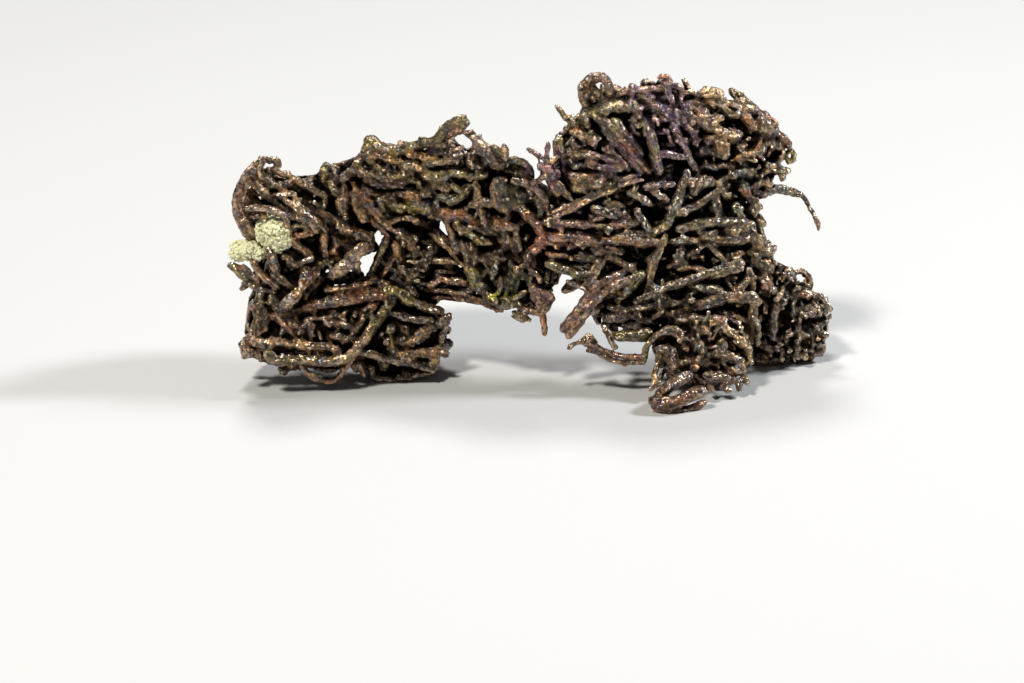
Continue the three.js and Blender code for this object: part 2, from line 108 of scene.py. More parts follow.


# ---------------------------------------------------------------- the growth

# The sticks of the face by region and by kind of rod, as [radius, [x, h, y], ...] along each.
LEFT_RIM = {
    "twins": [
        [1.0, [-43.0,42.2,19.5], [-44.7,40.1,19], [-45.9,37.7,18.6], [-46.4,35.6,18.3],
         [-46.1,33.4,18], [-45.2,31.4,18.3], [-43.9,29.6,19.2], [-42.3,28.1,19.6], [-41,26.8,19.4]],
    ],
    "rods": [
        [0.55, [-43.1,42.1,19.6], [-42.2,43,19.8], [-41,42.7,20], [-40,42.8,20], [-39.7,41.9,20.2],
         [-40.3,41.1,20.2]],
        [0.5, [-40.4,41,20.2], [-38.6,40.3,20.6], [-37.1,40.3,21]],
        [0.7, [-37.6,40,21], [-36,39.1,21.2], [-34.6,38.2,21.4], [-33.2,37.3,21.6], [-31.6,36.6,21.8]],
        [0.65, [-37,36.6,20], [-36.4,35,19.6], [-35,34.3,19.8], [-34,33.6,20]],
        [0.65, [-36.8,34.3,19], [-35.2,33.6,19], [-33.8,32.9,19.2], [-32.6,31.8,19.4],
         [-31.6,30.8,19.6]],
        [0.6, [-45,34.5,17.6], [-43.4,34.6,17.4], [-41.8,34.6,17.4], [-40.2,34,17.8],
         [-38.4,33.4,18.2], [-36,33,18.6], [-34.2,32.3,18.8], [-33.1,30.8,19.2]],
        [0.55, [-40.2,37,19], [-38.6,36,19], [-37.3,35.2,19.2], [-36.6,34.5,19.4]],
        [0.55, [-41.4,37.4,19.4], [-40.2,35.7,19.2], [-38.9,34.6,19.2], [-37.4,34,19.4]],
        [0.6, [-38.4,33.2,18], [-38.1,31.8,18], [-37.5,30.7,18.4]],
    ],
    "knobby": [
        [0.8, [-44.2,39.8,18.8], [-43,38.5,18.9], [-41.9,37.2,19], [-41,36.2,19.4]],
        [0.85, [-42.4,39.6,19.6], [-40.8,38.7,19.8], [-39.2,38.4,20.2], [-37.8,38.7,20.6]],
        [0.75, [-41.4,40.8,20.2], [-40.4,40.7,20.4]],
        [0.8, [-37.4,29.6,18.6], [-36.2,28.2,18.8], [-34.8,27,19], [-33.8,25.9,19.2]],
        [0.75, [-38.8,26.6,18.4], [-37.2,25.5,18.4], [-36.2,24.4,18.4], [-35,23.2,18.4]],
        [0.75, [-35.8,25.2,18.6], [-33.8,24.6,18.8], [-32,25.3,19], [-30.4,25.4,19.4]],
        [0.9, [-32.1,31,20], [-31.8,29.4,19.8], [-32,27.8,19.8], [-31.3,26.2,19.6]],
        [0.9, [-30.2,30,20.6], [-30,28.6,20.2], [-30.2,27.2,20], [-29.4,25.8,19.8]],
        [0.7, [-37.4,31.4,18.8], [-36,31.9,18.8], [-34.7,31.2,19.2]],
        [0.6, [-36.8,30.3,18.8], [-35.2,30,19], [-33.8,30.4,19.4]],
    ],
    "flat": [
        [1.0, [-35.8,35.7,20.6], [-34,34.5,20.6], [-32,33.2,20.8], [-30.4,31.8,21], [-29,30.2,21]],
        [0.7, [-45.1,33.3,18.2], [-43.6,33.6,18], [-42,33.3,18]],
    ],
}

LEFT_FACE = {
    "rods": [
        [0.9, [-41.4,9.9,11.8], [-39.8,8.8,11.9], [-36,8.9,12], [-32,8.8,12.1], [-29.2,8.9,12.2],
         [-27.3,9.8,12.6], [-25.4,11.9,13.6], [-23.4,14.7,15.2], [-21.6,17.3,17], [-19.6,19.7,18.7]],
        [0.5, [-27.4,12.9,14], [-25.7,14.8,15], [-24.1,16.7,16.4], [-22.7,18.4,17.6]],
        [0.55, [-35.6,7.9,13.2], [-34.8,6.7,13.4], [-33.2,5.7,13.6], [-31.4,5.4,13.8],
         [-29.9,5.6,13.8], [-28.9,6.7,13.4], [-27.9,8,13], [-27,9,12.6]],
        [1.0, [-37.6,17.3,16], [-35.6,17.5,16.2], [-33,18.2,16.6], [-29.6,18.7,17], [-26,19.2,17.6],
         [-22.6,19.7,18.2], [-20,19.9,18.8]],
        [0.55, [-31.6,20.6,17.6], [-28.6,21.1,18], [-26,21.4,18.6], [-24,21.8,19.2]],
        [0.45, [-30,20.2,17.8], [-27,20.5,18.2], [-24,20.6,18.6], [-22.2,20.9,19]],
        [0.8, [-39.8,16.5,15], [-38.5,14.9,14.6], [-37.2,13.3,14.2], [-36,11.8,13.8]],
        [0.8, [-41.3,27.6,17.4], [-40.6,25.9,17], [-39.9,24,16.8]],
        [0.7, [-47.3,24.9,17.6], [-46.5,23.9,17.4], [-45.2,22.6,17.2]],
        [0.55, [-45.6,24.8,17.4], [-44.5,23.5,17.2], [-43.2,22.4,17]],
        [0.65, [-44.3,26.2,17.6], [-43.5,24.8,17.2], [-42.4,23.2,17], [-41,22,16.8], [-39.6,21,16.6]],
        [0.75, [-40.4,23.3,16.8], [-39.3,22.6,16.6], [-38.3,21.8,16.6], [-37.2,21.1,16.6]],
        [0.5, [-45,21.8,17], [-43.3,21.3,16.8], [-41.8,20.7,16.6], [-40,20.1,16.4]],
        [0.5, [-34.6,15.9,15], [-33,15.8,15.2], [-31.2,16.2,15.6], [-29.4,16.5,16.2]],
        [0.6, [-26.6,16.5,16.6], [-24.8,17.4,17], [-23.4,18.3,17.4]],
        [0.7, [-26.8,10.5,13.4], [-24.2,10,14], [-22.2,9.3,14.6], [-20,8.8,15], [-17.6,8.4,15.4],
         [-15.4,8,15.8], [-13,7.5,16.2]],
        [0.6, [-24.1,7.7,16.8], [-23.6,6.4,17.2], [-22.6,5.7,17.5], [-20.4,5.6,17.6], [-18,5.9,17.6],
         [-15.8,6.4,17.4], [-13.8,6.8,17]],
        [0.5, [-25.9,8.2,15.4], [-25.4,7,15.8], [-25.1,6.2,16]],
        [0.65, [-21,16.8,17.6], [-19.4,16.5,17.4], [-17.6,15.9,17.2], [-15.6,15.6,17], [-13.8,15.7,17]],
        [0.75, [-16.8,18.7,18.4], [-15.2,18,18.2], [-13.8,17.4,18], [-12.1,17.2,18]],
        [0.7, [-24,22.8,21.4], [-23.2,24.6,22], [-22.4,26.4,22.2], [-21.7,28.2,22.2], [-21.1,29.6,22]],
        [0.7, [-21.8,23,21.2], [-20.6,25,21.4], [-19.5,26.8,21.4]],
        [0.6, [-17,25.1,21], [-15,25.7,21.2], [-12.6,25.7,21], [-10,25.5,20.6], [-8.4,25.5,20]],
        [0.65, [-13.4,21.6,20.6], [-12,22.8,20.8], [-10.6,22.2,20.4], [-9,22.1,19.8], [-7.4,21.9,19]],
        [0.45, [-14.6,20.9,21.2], [-12,20.6,20.6], [-9,20.1,19.4], [-6.4,19.6,18], [-4.4,19,17],
         [-3,18.6,16.2]],
        [0.5, [-13.3,19.5,21.4], [-10.6,19.4,20.6], [-8,19.2,19.4], [-5.6,18.7,18], [-3.6,17.9,16.8],
         [-1.8,17.3,15.8]],
        [0.9, [-28,28.1,20.4], [-26.4,27.4,20.6], [-24.8,27.5,20.8], [-23.9,28.4,21.2]],
        [0.75, [-27.1,26.6,20.2], [-26.5,25.2,20.4], [-26.2,23.4,20.8]],
        [0.6, [-31.3,23.3,19.6], [-30,22.9,19.8], [-28.8,22.9,20.2]],
    ],
    "knobby": [
        [0.95, [-42.4,20.2,16.6], [-42.6,18.6,16.2], [-43,16.8,15.8], [-43,15,15.2], [-43.4,13.4,14.6]],
        [0.8, [-42.6,18.3,16.2], [-44,17.9,16.4]],
        [0.8, [-44.4,13,14.2], [-45.1,11.6,13.9], [-45.3,10.4,13.8], [-44.4,9.9,13.8]],
        [0.95, [-44.4,12.2,14], [-42.6,11.9,13.8], [-40.6,11.8,13.6], [-38.6,11.6,13.4],
         [-36.4,11.4,13.2], [-34,11.1,13], [-31.6,11,13], [-29.2,10.2,13]],
        [1.0, [-40.8,19.6,16.4], [-40.2,18.2,16], [-39.4,17.1,15.6], [-38.2,16.7,15.4]],
        [0.8, [-41.8,17.4,15.8], [-41.6,15.8,15.4], [-41.6,14.2,14.8]],
        [1.2, [-34.8,24,18.2], [-35.2,22.2,17.4], [-35.9,20.8,17], [-36.8,19.4,16.4], [-37.8,18.4,16]],
        [1.0, [-32.2,23.2,19.2], [-33.4,22,18.4], [-34.6,20.6,17.6], [-35.6,19,16.8]],
        [0.8, [-36.9,16.8,15.6], [-36.5,15.2,15], [-36,13.6,14.4], [-35.3,12.2,13.8]],
        [0.85, [-35,15.4,14.8], [-34.2,14.2,14.4], [-34,12.6,14]],
        [0.8, [-31.4,15.1,15], [-30,14.9,15.2], [-28.4,14.5,15], [-27,14.1,14.8]],
        [1.1, [-31,12.5,14.2], [-29.6,12.7,14.2], [-28.2,12.3,14]],
        [0.9, [-25.6,22.1,20.4], [-23.8,22.3,20.4], [-22.2,21.6,20], [-20.4,21.2,19.6]],
        [1.1, [-21.4,20.5,18.8], [-19.8,20.4,18.6], [-18.3,19.7,18.4], [-17.4,18.7,18.2]],
        [0.95, [-19.8,22.8,20.2], [-18.7,21.8,19.8], [-17.6,21,19.4], [-16.5,20,19.2]],
        [0.95, [-18.7,24.6,20.6], [-18.1,23.2,20.2], [-17.4,22,19.8]],
        [1.05, [-20.9,14.5,17.2], [-20.6,12.9,16.8], [-20.7,11.4,16.4], [-19.8,10.3,16]],
        [1.15, [-19.6,12.3,17], [-18,11.7,16.8], [-16.6,12.2,17], [-15.2,13.4,17.2], [-14.2,14.3,17.4]],
        [1.1, [-19.6,9.9,16], [-18.2,9.6,16], [-16.8,9.9,16.2], [-15.2,10.2,16.6], [-14,9.9,16.8],
         [-13,8.7,16.8]],
        [0.8, [-14.4,14,17.6], [-12.8,14.8,17.8], [-11.6,15.6,18], [-10.7,16.4,18]],
        [0.65, [-11.2,15.2,18], [-11.4,13.9,18], [-12.1,12.6,18], [-12.2,11.8,18]],
        [0.9, [-19.8,15,17.8], [-18.6,14.3,17.6], [-17.6,13.3,17.2]],
        [0.75, [-23.4,13,17.2], [-22.8,12,17]],
        [1.15, [-19.2,31.2,21.6], [-18.4,29.8,21.4], [-17.4,28.5,21.2], [-16.4,27.6,21]],
        [0.9, [-19.6,28.8,21.6], [-19.3,27.2,21.4], [-18.4,25.8,21]],
        [0.8, [-17.4,26.5,21], [-15.8,27,21], [-14.2,27,21.2]],
        [0.75, [-15,28.8,21.6], [-13.6,28.6,21.8]],
    ],
    "lumps": [
        [1.3, [-28.9,24.2,20.6]],
        [1.0, [-27,26.5,20.2]],
        [0.9, [-37.8,19,16]],
        [0.9, [-42.3,19.4,16.8]],
    ],
    "flat": [
        [0.7, [-14.2,10.4,16.8], [-12.6,10.2,16.9], [-11,9.9,17]],
    ],
}

LEFT_TOP = {
    "knobby": [
        [0.85, [-24.9,44.8,22], [-24,45.2,21.8], [-22.6,44.6,21.6], [-21,44.3,21.4], [-19.4,44.3,21],
         [-17.8,44.6,20.4], [-16.4,45.1,19.8], [-14.8,45.6,18.8], [-13.2,45.9,17.8],
         [-12.3,46.8,17.2], [-11.4,48,16.8], [-10.2,49,16.4], [-8.8,49.5,16.2], [-7.7,49.1,16.2]],
        [0.95, [-11.2,47.2,17], [-9.9,48.1,16.6], [-8.7,48,16.4]],
        [0.85, [-24.9,44.5,22], [-25.5,43,22.2], [-26.5,41.6,22.4], [-27.6,40.3,22.6],
         [-29.2,39.5,22.8]],
        [0.85, [-31.5,41.7,22.9], [-31.8,40.4,22.9], [-31.9,39,22.8], [-31.4,37.8,22.6]],
        [0.75, [-30.2,41.4,22.9], [-29.7,41,22.9], [-30.4,40,22.9], [-29.4,39.2,22.8]],
        [0.9, [-30.8,38.8,22.4], [-30,37.4,22.2], [-29.4,36.4,22]],
        [0.8, [-24.6,44.1,21.4], [-22.8,43.5,21.2], [-20.8,42.9,20.8], [-19,42.3,20.4],
         [-17.2,42.2,20]],
        [0.85, [-24.4,43.4,21.8], [-23.4,42.2,21.4], [-22.2,41.3,21.2], [-20.6,40.9,21],
         [-19.4,40.2,20.8]],
        [0.9, [-26.8,40.8,22], [-24.8,40.8,21.6], [-22.8,40.2,21.2], [-20.8,39.8,20.8],
         [-18.8,40.2,20.4], [-17,40.6,20]],
        [0.8, [-24.8,39.4,21.8], [-23,39,21.4], [-21.4,38.6,21.2], [-19.8,38.7,20.8], [-18,39,20.4]],
        [0.8, [-26.8,38.6,22], [-25.8,37.4,21.8], [-24.6,36.4,21.6], [-23.6,35.4,21.4]],
        [0.9, [-24.8,38,21.8], [-23.2,37.2,21.6], [-21.4,36.6,21.4], [-19.6,36.8,21]],
        [1.15, [-28.4,38,22.2], [-28.6,36.2,21.8], [-28.8,34.6,21.6], [-28.2,33,21.4]],
        [1.1, [-26.8,36.8,21.8], [-26.4,35.4,21.6], [-25.8,34,21.4], [-24.8,32.9,21.4]],
        [0.95, [-25.4,35.8,21.6], [-24,34.6,21.4], [-22.8,33.4,21.4], [-21.6,32,21.4]],
        [1.2, [-29.8,32.4,21.2], [-28.4,31.2,21], [-27.2,30.5,21], [-25.4,29.9,21.2], [-24,29.6,21.4]],
        [0.95, [-29.4,29,20.8], [-27.8,28.8,20.8], [-26.6,29.4,21]],
        [1.1, [-20.8,35.6,21.4], [-19.6,34.8,21.2], [-18.2,34.9,21], [-16.6,35,20.6], [-15,34.8,20.2],
         [-13.6,34.6,19.6]],
        [0.95, [-19.6,37.2,21.2], [-18,37,21], [-16.4,37.1,20.6], [-15,36.9,20.2], [-13.6,37,19.8]],
        [0.95, [-17.8,44,20.2], [-16.2,43.7,19.8], [-14.8,43.3,19.2], [-13,43.3,18.4]],
        [0.95, [-18.6,41.6,20.4], [-17.2,42,20], [-16,41.8,19.6], [-15,41,19.2]],
        [0.85, [-17.6,39.4,20.4], [-16.4,39.5,20.2], [-15.6,38.8,20], [-15,37.6,20]],
        [0.9, [-14.8,42,19], [-13,42.5,18.4], [-11,42.8,17.8], [-9.2,43.1,17.4]],
        [0.8, [-13.8,45,18.4], [-12.2,45.4,17.8], [-10.8,45.2,17.4]],
        [0.8, [-13.8,44.2,18.6], [-12,44.2,18], [-10.2,44,17.6], [-8.6,43.4,17.4]],
        [0.7, [-6.2,38.8,17], [-5.8,37.4,17], [-6,36,17]],
        [0.9, [-9.4,31.8,17.4], [-7.6,30.6,17.2], [-5.6,29.6,17], [-3.6,28.8,16.6]],
        [0.95, [-8.3,28.8,18], [-7.5,27.2,17.8], [-7.3,25.4,17.6]],
        [0.85, [-6.5,28.2,17.4], [-6.2,27,17.4], [-6.2,25.4,17.4]],
    ],
    "rods": [
        [0.65, [-23.6,32.6,21.6], [-22.2,31.3,21.6], [-20.9,30,21.6]],
        [0.65, [-22.4,32,21.4], [-20.8,32.3,21.2], [-19,32.9,20.8], [-17.4,33.1,20.6], [-16,32.6,20.4]],
        [0.6, [-17.6,36,20.4], [-15.8,35.8,20.2], [-14.2,35.4,19.8], [-12.6,35,19.2]],
        [0.65, [-22,35.6,21.6], [-21.9,34.2,21.6], [-21.2,33,21.4]],
        [1.05, [-6.5,46.2,15.6], [-5.6,45.3,15.4], [-4.4,44.3,15.2], [-3.4,43.2,15.2], [-2.4,42,15.4]],
        [0.55, [-3,45.1,15], [-2.4,44.2,15], [-1.9,43.2,15]],
        [0.65, [-1.4,45,14.8], [-1.2,44,14.8], [-1.5,43,15]],
        [0.65, [-2.6,42.3,15.4], [-1,42.5,15.2], [0.4,42.7,15.2], [1.8,42.3,15.4], [2.8,41.4,15.6],
         [3.1,40.6,15.6]],
        [0.8, [0.4,39.3,14.8], [2.2,38.7,14.4], [4,38.1,14.2], [5.1,37,14.2], [5.6,35.6,14.4],
         [5.6,34.4,14.6]],
        [0.6, [4.3,36.8,14.4], [4.6,35.4,14.4], [5,34.2,14.4], [4.7,33.3,14.4]],
        [0.85, [1.2,34.8,15.2], [2.8,33.4,14.8], [4,32.1,14.4], [4.8,30.8,14.2], [5.8,29.8,14]],
        [0.95, [-12,36.7,18.6], [-10.4,36.2,18.2], [-9.2,36.4,18], [-8,37.5,17.8], [-7,38.4,17.6]],
        [0.85, [-6.8,35.2,17], [-5,35.5,16.8], [-3.4,35.5,16.4]],
        [0.85, [-13.4,39.2,19.2], [-11.6,39,18.8], [-10,38.6,18.4]],
        [0.85, [-10.4,40.9,18.2], [-8.6,40.6,17.8], [-6.8,40.2,17.4], [-4.4,40.3,16.8]],
        [0.8, [-12.6,35.4,19.2], [-11.9,34,19], [-10.8,32.4,18.8], [-10.3,31,18.6], [-9.8,29.4,18.4],
         [-9.3,27.4,18.2]],
        [0.75, [-3,31.4,16], [-1.2,31.4,15.8], [0.8,31.2,15.8]],
        [0.5, [-7.2,31.5,16.8], [-5.4,31,16.6], [-3.6,30.2,16.4]],
        [0.6, [0.6,31.2,15.6], [0.8,29.4,15.6], [0.6,27.8,15.6], [0.8,26.4,15.6]],
        [0.65, [-1.6,30.6,16], [-0.7,29.5,15.8], [0.1,28.3,15.6]],
        [0.65, [-4.8,26.8,17], [-3.2,26.7,16.6], [-1.8,27.5,16.2], [-0.4,28.2,15.8]],
        [0.8, [-5.4,26,17], [-4,25.9,16.8], [-2.6,26.1,16.4], [-1,26.1,16]],
    ],
    "twins": [
        [0.95, [-13.6,30.6,22.4], [-11.8,29.4,21.6], [-10.2,28.1,20.6], [-8.8,26.6,19.6],
         [-7.4,25,18.6]],
    ],
    "flat": [
        [1.2, [-11.4,34,18.4], [-8.8,33.6,18], [-6.4,33,17.4], [-4,32.6,17], [-1.8,32.2,16.4]],
        [1.3, [-14.4,40.7,19.2], [-12.8,40.3,18.8], [-11.2,40.4,18.4]],
        [1.5, [-1.7,39.4,16], [-0.7,37.4,15.8], [0.4,35.4,15.6]],
        [1.3, [-2.6,38.2,16.2], [-2.2,36.2,16], [-1,34.4,16]],
        [1.2, [0.6,38.4,15.6], [1.2,36.8,15.6], [1.2,35.2,15.6]],
        [1.2, [0.2,41.2,16], [1.6,40.6,15.8], [2.8,40.3,15.6]],
        [1.2, [-6.9,25,17.6], [-6.3,23.4,17.2], [-5.9,21.8,17]],
    ],
    "lumps": [
        [1.9, [-6.2,42.5,17.4]],
        [0.55, [-5.6,46.5,15.6]],
    ],
}

NECK = {
    "knobby": [
        [0.95, [2.2,26.3,15], [3.2,27.1,14.8], [4.3,27.9,14.6], [5.4,28.6,14.4], [6.8,29.4,14.2]],
        [0.65, [-4.1,24.6,16.6], [-3.5,24,16.4], [-3,22.8,16.2], [-2.5,21.6,16]],
        [0.6, [-1.9,22.8,15.4], [-1.8,21.4,15.4], [-2.4,20.1,15.4]],
        [0.6, [-1.4,24.4,15.8], [-0.2,23.8,15.6], [0.8,23.5,15.4], [1.3,22.4,15.4], [0.9,21.3,15.4]],
        [0.6, [-0.9,23,15.6], [-0.7,21.6,15.4], [-0.9,20.2,15.4]],
        [0.75, [-6.6,21.2,17], [-5,20.8,16.8], [-3.5,20.3,16.4]],
        [0.75, [-3,19.5,16], [-1.6,19.3,15.8], [0,19.3,15.4]],
        [0.8, [-2.6,18.5,15.8], [-1.2,18.1,15.6], [0.2,18.5,15.4], [1.4,18.4,15]],
        [0.85, [3.4,21.2,14.4], [4,20.4,14.2], [4.2,19.2,14], [5,18.3,13.8]],
        [0.85, [4.4,20.4,14.2], [5.7,20,14], [6.7,19.4,13.8]],
        [0.9, [6.3,18.6,13.8], [5.3,17.8,13.8], [4.5,17,13.8]],
        [0.8, [1.6,17.4,15], [2.8,17.3,14.6], [4.2,16.9,14.2]],
    ],
    "rods": [
        [0.5, [0.9,25.8,15], [2.2,24.8,14.6], [3.4,23.9,14.2], [4.4,23.1,14], [4.7,22.2,14]],
        [0.45, [3.6,23.4,14.2], [3,22.4,14.2], [3.1,21.1,14.2]],
        [0.6, [0.4,19.3,15], [1.3,19.8,14.8], [2.2,20.5,14.6]],
        [0.55, [5.2,16.8,14], [5.3,15.4,13.8], [5.5,14.3,13.8], [5.5,13.3,13.8]],
        [0.95, [4.6,29,14.4], [6.4,29,14], [8.4,28.9,13.8]],
        [0.45, [3.7,26.6,14.8], [3.8,25.4,14.8], [3.6,24.5,14.8]],
    ],
    "flat": [
        [0.7, [0.4,16.8,15.2], [1.6,16.2,15], [2.8,15.7,15]],
    ],
}

RIGHT_TOP = {
    "rods": [
        [0.5, [6.1,45.7,12.8], [6,44.2,13], [5.8,43,13.2], [5.8,41.6,13.4]],
        [0.45, [2.8,44.6,16], [3.8,43.9,15], [4.8,43.2,14], [5.6,42.4,13.4]],
        [0.45, [7.8,43.4,13.8], [6.9,42.8,13.5], [6,42,13.4]],
        [0.6, [6.1,40.2,13.6], [6.6,38.6,13.6], [7.2,37.6,13.8], [7.7,36.9,14]],
        [0.65, [6.8,39.8,13.6], [7.8,38.4,13.8], [8.8,37.4,14], [9.8,36.4,14.2]],
        [0.9, [8,46,14.8], [8,45,14.8], [8.7,43.8,14.8]],
        [0.6, [8.4,43.6,14.8], [8.8,41.6,14.8], [9.3,39.8,14.8], [9.7,38.2,14.6]],
        [0.5, [7.6,51.9,14.8], [8.4,50.8,14.9], [9,49.9,15], [9.9,49.3,15.4], [10.8,48.6,15.6],
         [11.4,47.6,15.8]],
        [0.45, [9,48,15.2], [9.8,48.6,15.4], [10.6,49,15.6]],
        [0.75, [12.6,51.8,17], [12,53.4,16.9], [12,54.9,16.8], [12.6,56.1,16.7], [13.6,56.7,16.6],
         [14.8,56.9,16.6], [15.9,56.3,16.6], [16.4,55.2,16.7], [16.6,53.9,17]],
        [0.75, [13.2,51.4,17], [14.8,52.2,17.2], [16.4,53.1,17.4], [18,53.9,17.6], [19.3,54.3,17.7]],
        [0.7, [20.3,55.3,17.8], [20.4,54.4,17.8], [20.2,53.4,17.8]],
        [0.6, [20.6,54.6,18], [22.4,54.7,18.4], [24,54.7,18.8], [25.6,55,19]],
        [0.45, [24.9,56.8,19.2], [25.6,57,19.2], [26.5,56.7,19.4], [27,56,19.4]],
        [0.85, [26.1,55.8,19.4], [26.2,54.5,19.2], [26.6,53.2,19], [26.9,51.9,18.8]],
        [0.55, [26.6,55.3,19.8], [28,55.2,20], [28.8,54.8,20.2]],
        [0.8, [17.2,49.5,16.1], [19,47.4,16.2], [20.6,45.6,16.4], [21.9,44,16.6]],
        [0.8, [16,49.2,15.8], [17.8,46.9,15.9], [19.6,44.9,16.1], [21.4,42.8,16.4], [23,40.9,16.8]],
        [0.65, [15.6,47.7,15.8], [17.2,46,15.9], [18.8,44.2,16.1], [20.5,42.2,16.4], [21.8,40.6,16.6]],
        [0.7, [14,50.4,15.9], [15,49.4,15.9], [15.8,48.2,15.9]],
        [0.85, [9.6,44,14.8], [11.4,43.8,14.8], [12.8,43.6,14.9], [14.6,43.3,15.1]],
        [0.75, [9.8,42.6,14.6], [11,41.8,14.6], [12.4,41.8,14.8]],
        [0.8, [12.8,42.2,14.8], [14.6,41.6,15], [16.6,41.5,15.2], [18.2,41.3,15.4]],
        [0.65, [15.4,43.2,15.2], [17,42.5,15.4], [18,41.9,15.6]],
        [1.1, [10.2,40,14.4], [11.6,39.9,14.4], [12.8,39.7,14.5]],
        [0.85, [12.8,39.9,14.6], [15,40.2,14.8]],
        [0.95, [13.2,38.9,14.4], [15.2,38.9,14.5]],
        [1.2, [10.6,38.4,14.4], [12.2,38,14.4]],
        [0.6, [17.5,43.8,15.4], [18.6,42.6,15.6], [19.6,41.3,15.8]],
        [0.55, [15.6,41,15], [17,40.2,15.2], [18.4,39.7,15.4]],
        [0.95, [22.6,48.6,16.8], [23.4,47.2,16.6], [23.9,45.4,16.4], [24.2,43.6,16.4], [24.6,42,16.4],
         [24.9,40.9,16.4]],
        [0.65, [21.2,51.2,17], [22.2,49.6,16.9], [23,48.2,16.8]],
        [0.6, [23.2,48.8,17], [25,49.6,17.2], [26.8,49.7,17.4], [28.2,48.8,17.6]],
        [0.65, [27.2,48.8,17.2], [28.4,46.6,17.4], [29.4,44.6,17.8], [30.4,42.4,18.2],
         [31.8,40.4,18.6]],
        [0.6, [24.6,43.6,16.4], [26.2,43.8,16.6], [27.6,43.4,16.8], [29.6,43.2,17.4]],
        [0.6, [25.2,38.8,16.2], [26.2,38.6,16.2], [27.3,38.6,16.2]],
        [0.7, [22.6,38.2,15.8], [24.6,38.4,15.8]],
        [0.6, [23.8,37.5,15.6], [25.2,36.7,15.6], [26.2,36,15.6]],
        [0.65, [19.8,37.3,15.2], [21.6,36.4,15.2], [23.4,35.2,15.2]],
        [0.8, [20.6,50.4,17.2], [20.6,49,17], [20.5,47.6,16.8]],
    ],
    "twins": [
        [0.75, [6.6,33.1,13.8], [8.6,34.1,14.1], [10.4,35,14.1], [12.6,36.2,14.2], [14.8,37.2,14.4],
         [17.2,38.2,14.8], [19.2,39.2,15.2], [21.8,39.8,15.6]],
    ],
    "knobby": [
        [1.0, [5.3,42.4,13.6], [5.9,41.3,13.5], [6.3,40.2,13.6], [7.3,40.6,13.9]],
        [0.8, [12.6,55.4,17], [12.8,54.2,17], [13,53,17.2]],
        [0.95, [12.4,51.2,16.8], [14,51.2,16.8]],
        [1.05, [14.6,50.6,16.6], [16.4,51.6,16.8], [18,51.9,17], [19.6,52,17.2], [21,51.7,17.4],
         [22.4,51.6,17.8]],
        [0.85, [12,50.4,16], [12.4,49.2,16], [12.8,48.2,16]],
        [0.95, [10.4,47.4,15.4], [11.4,47.2,15.4], [12.2,46.2,15.4]],
        [0.8, [10.4,46,15.2], [10.9,44.8,15]],
        [0.85, [21.4,53.2,18], [22.8,53,18.2], [24,52.8,18.4]],
        [1.1, [23.2,52,17.9], [24.6,51.6,18], [25.8,50.9,18.2], [27.4,50.9,18.4]],
    ],
    "lumps": [
        [1.5, [13.5,46.3,15.6]],
        [1.25, [16.4,44.5,15.8]],
    ],
}

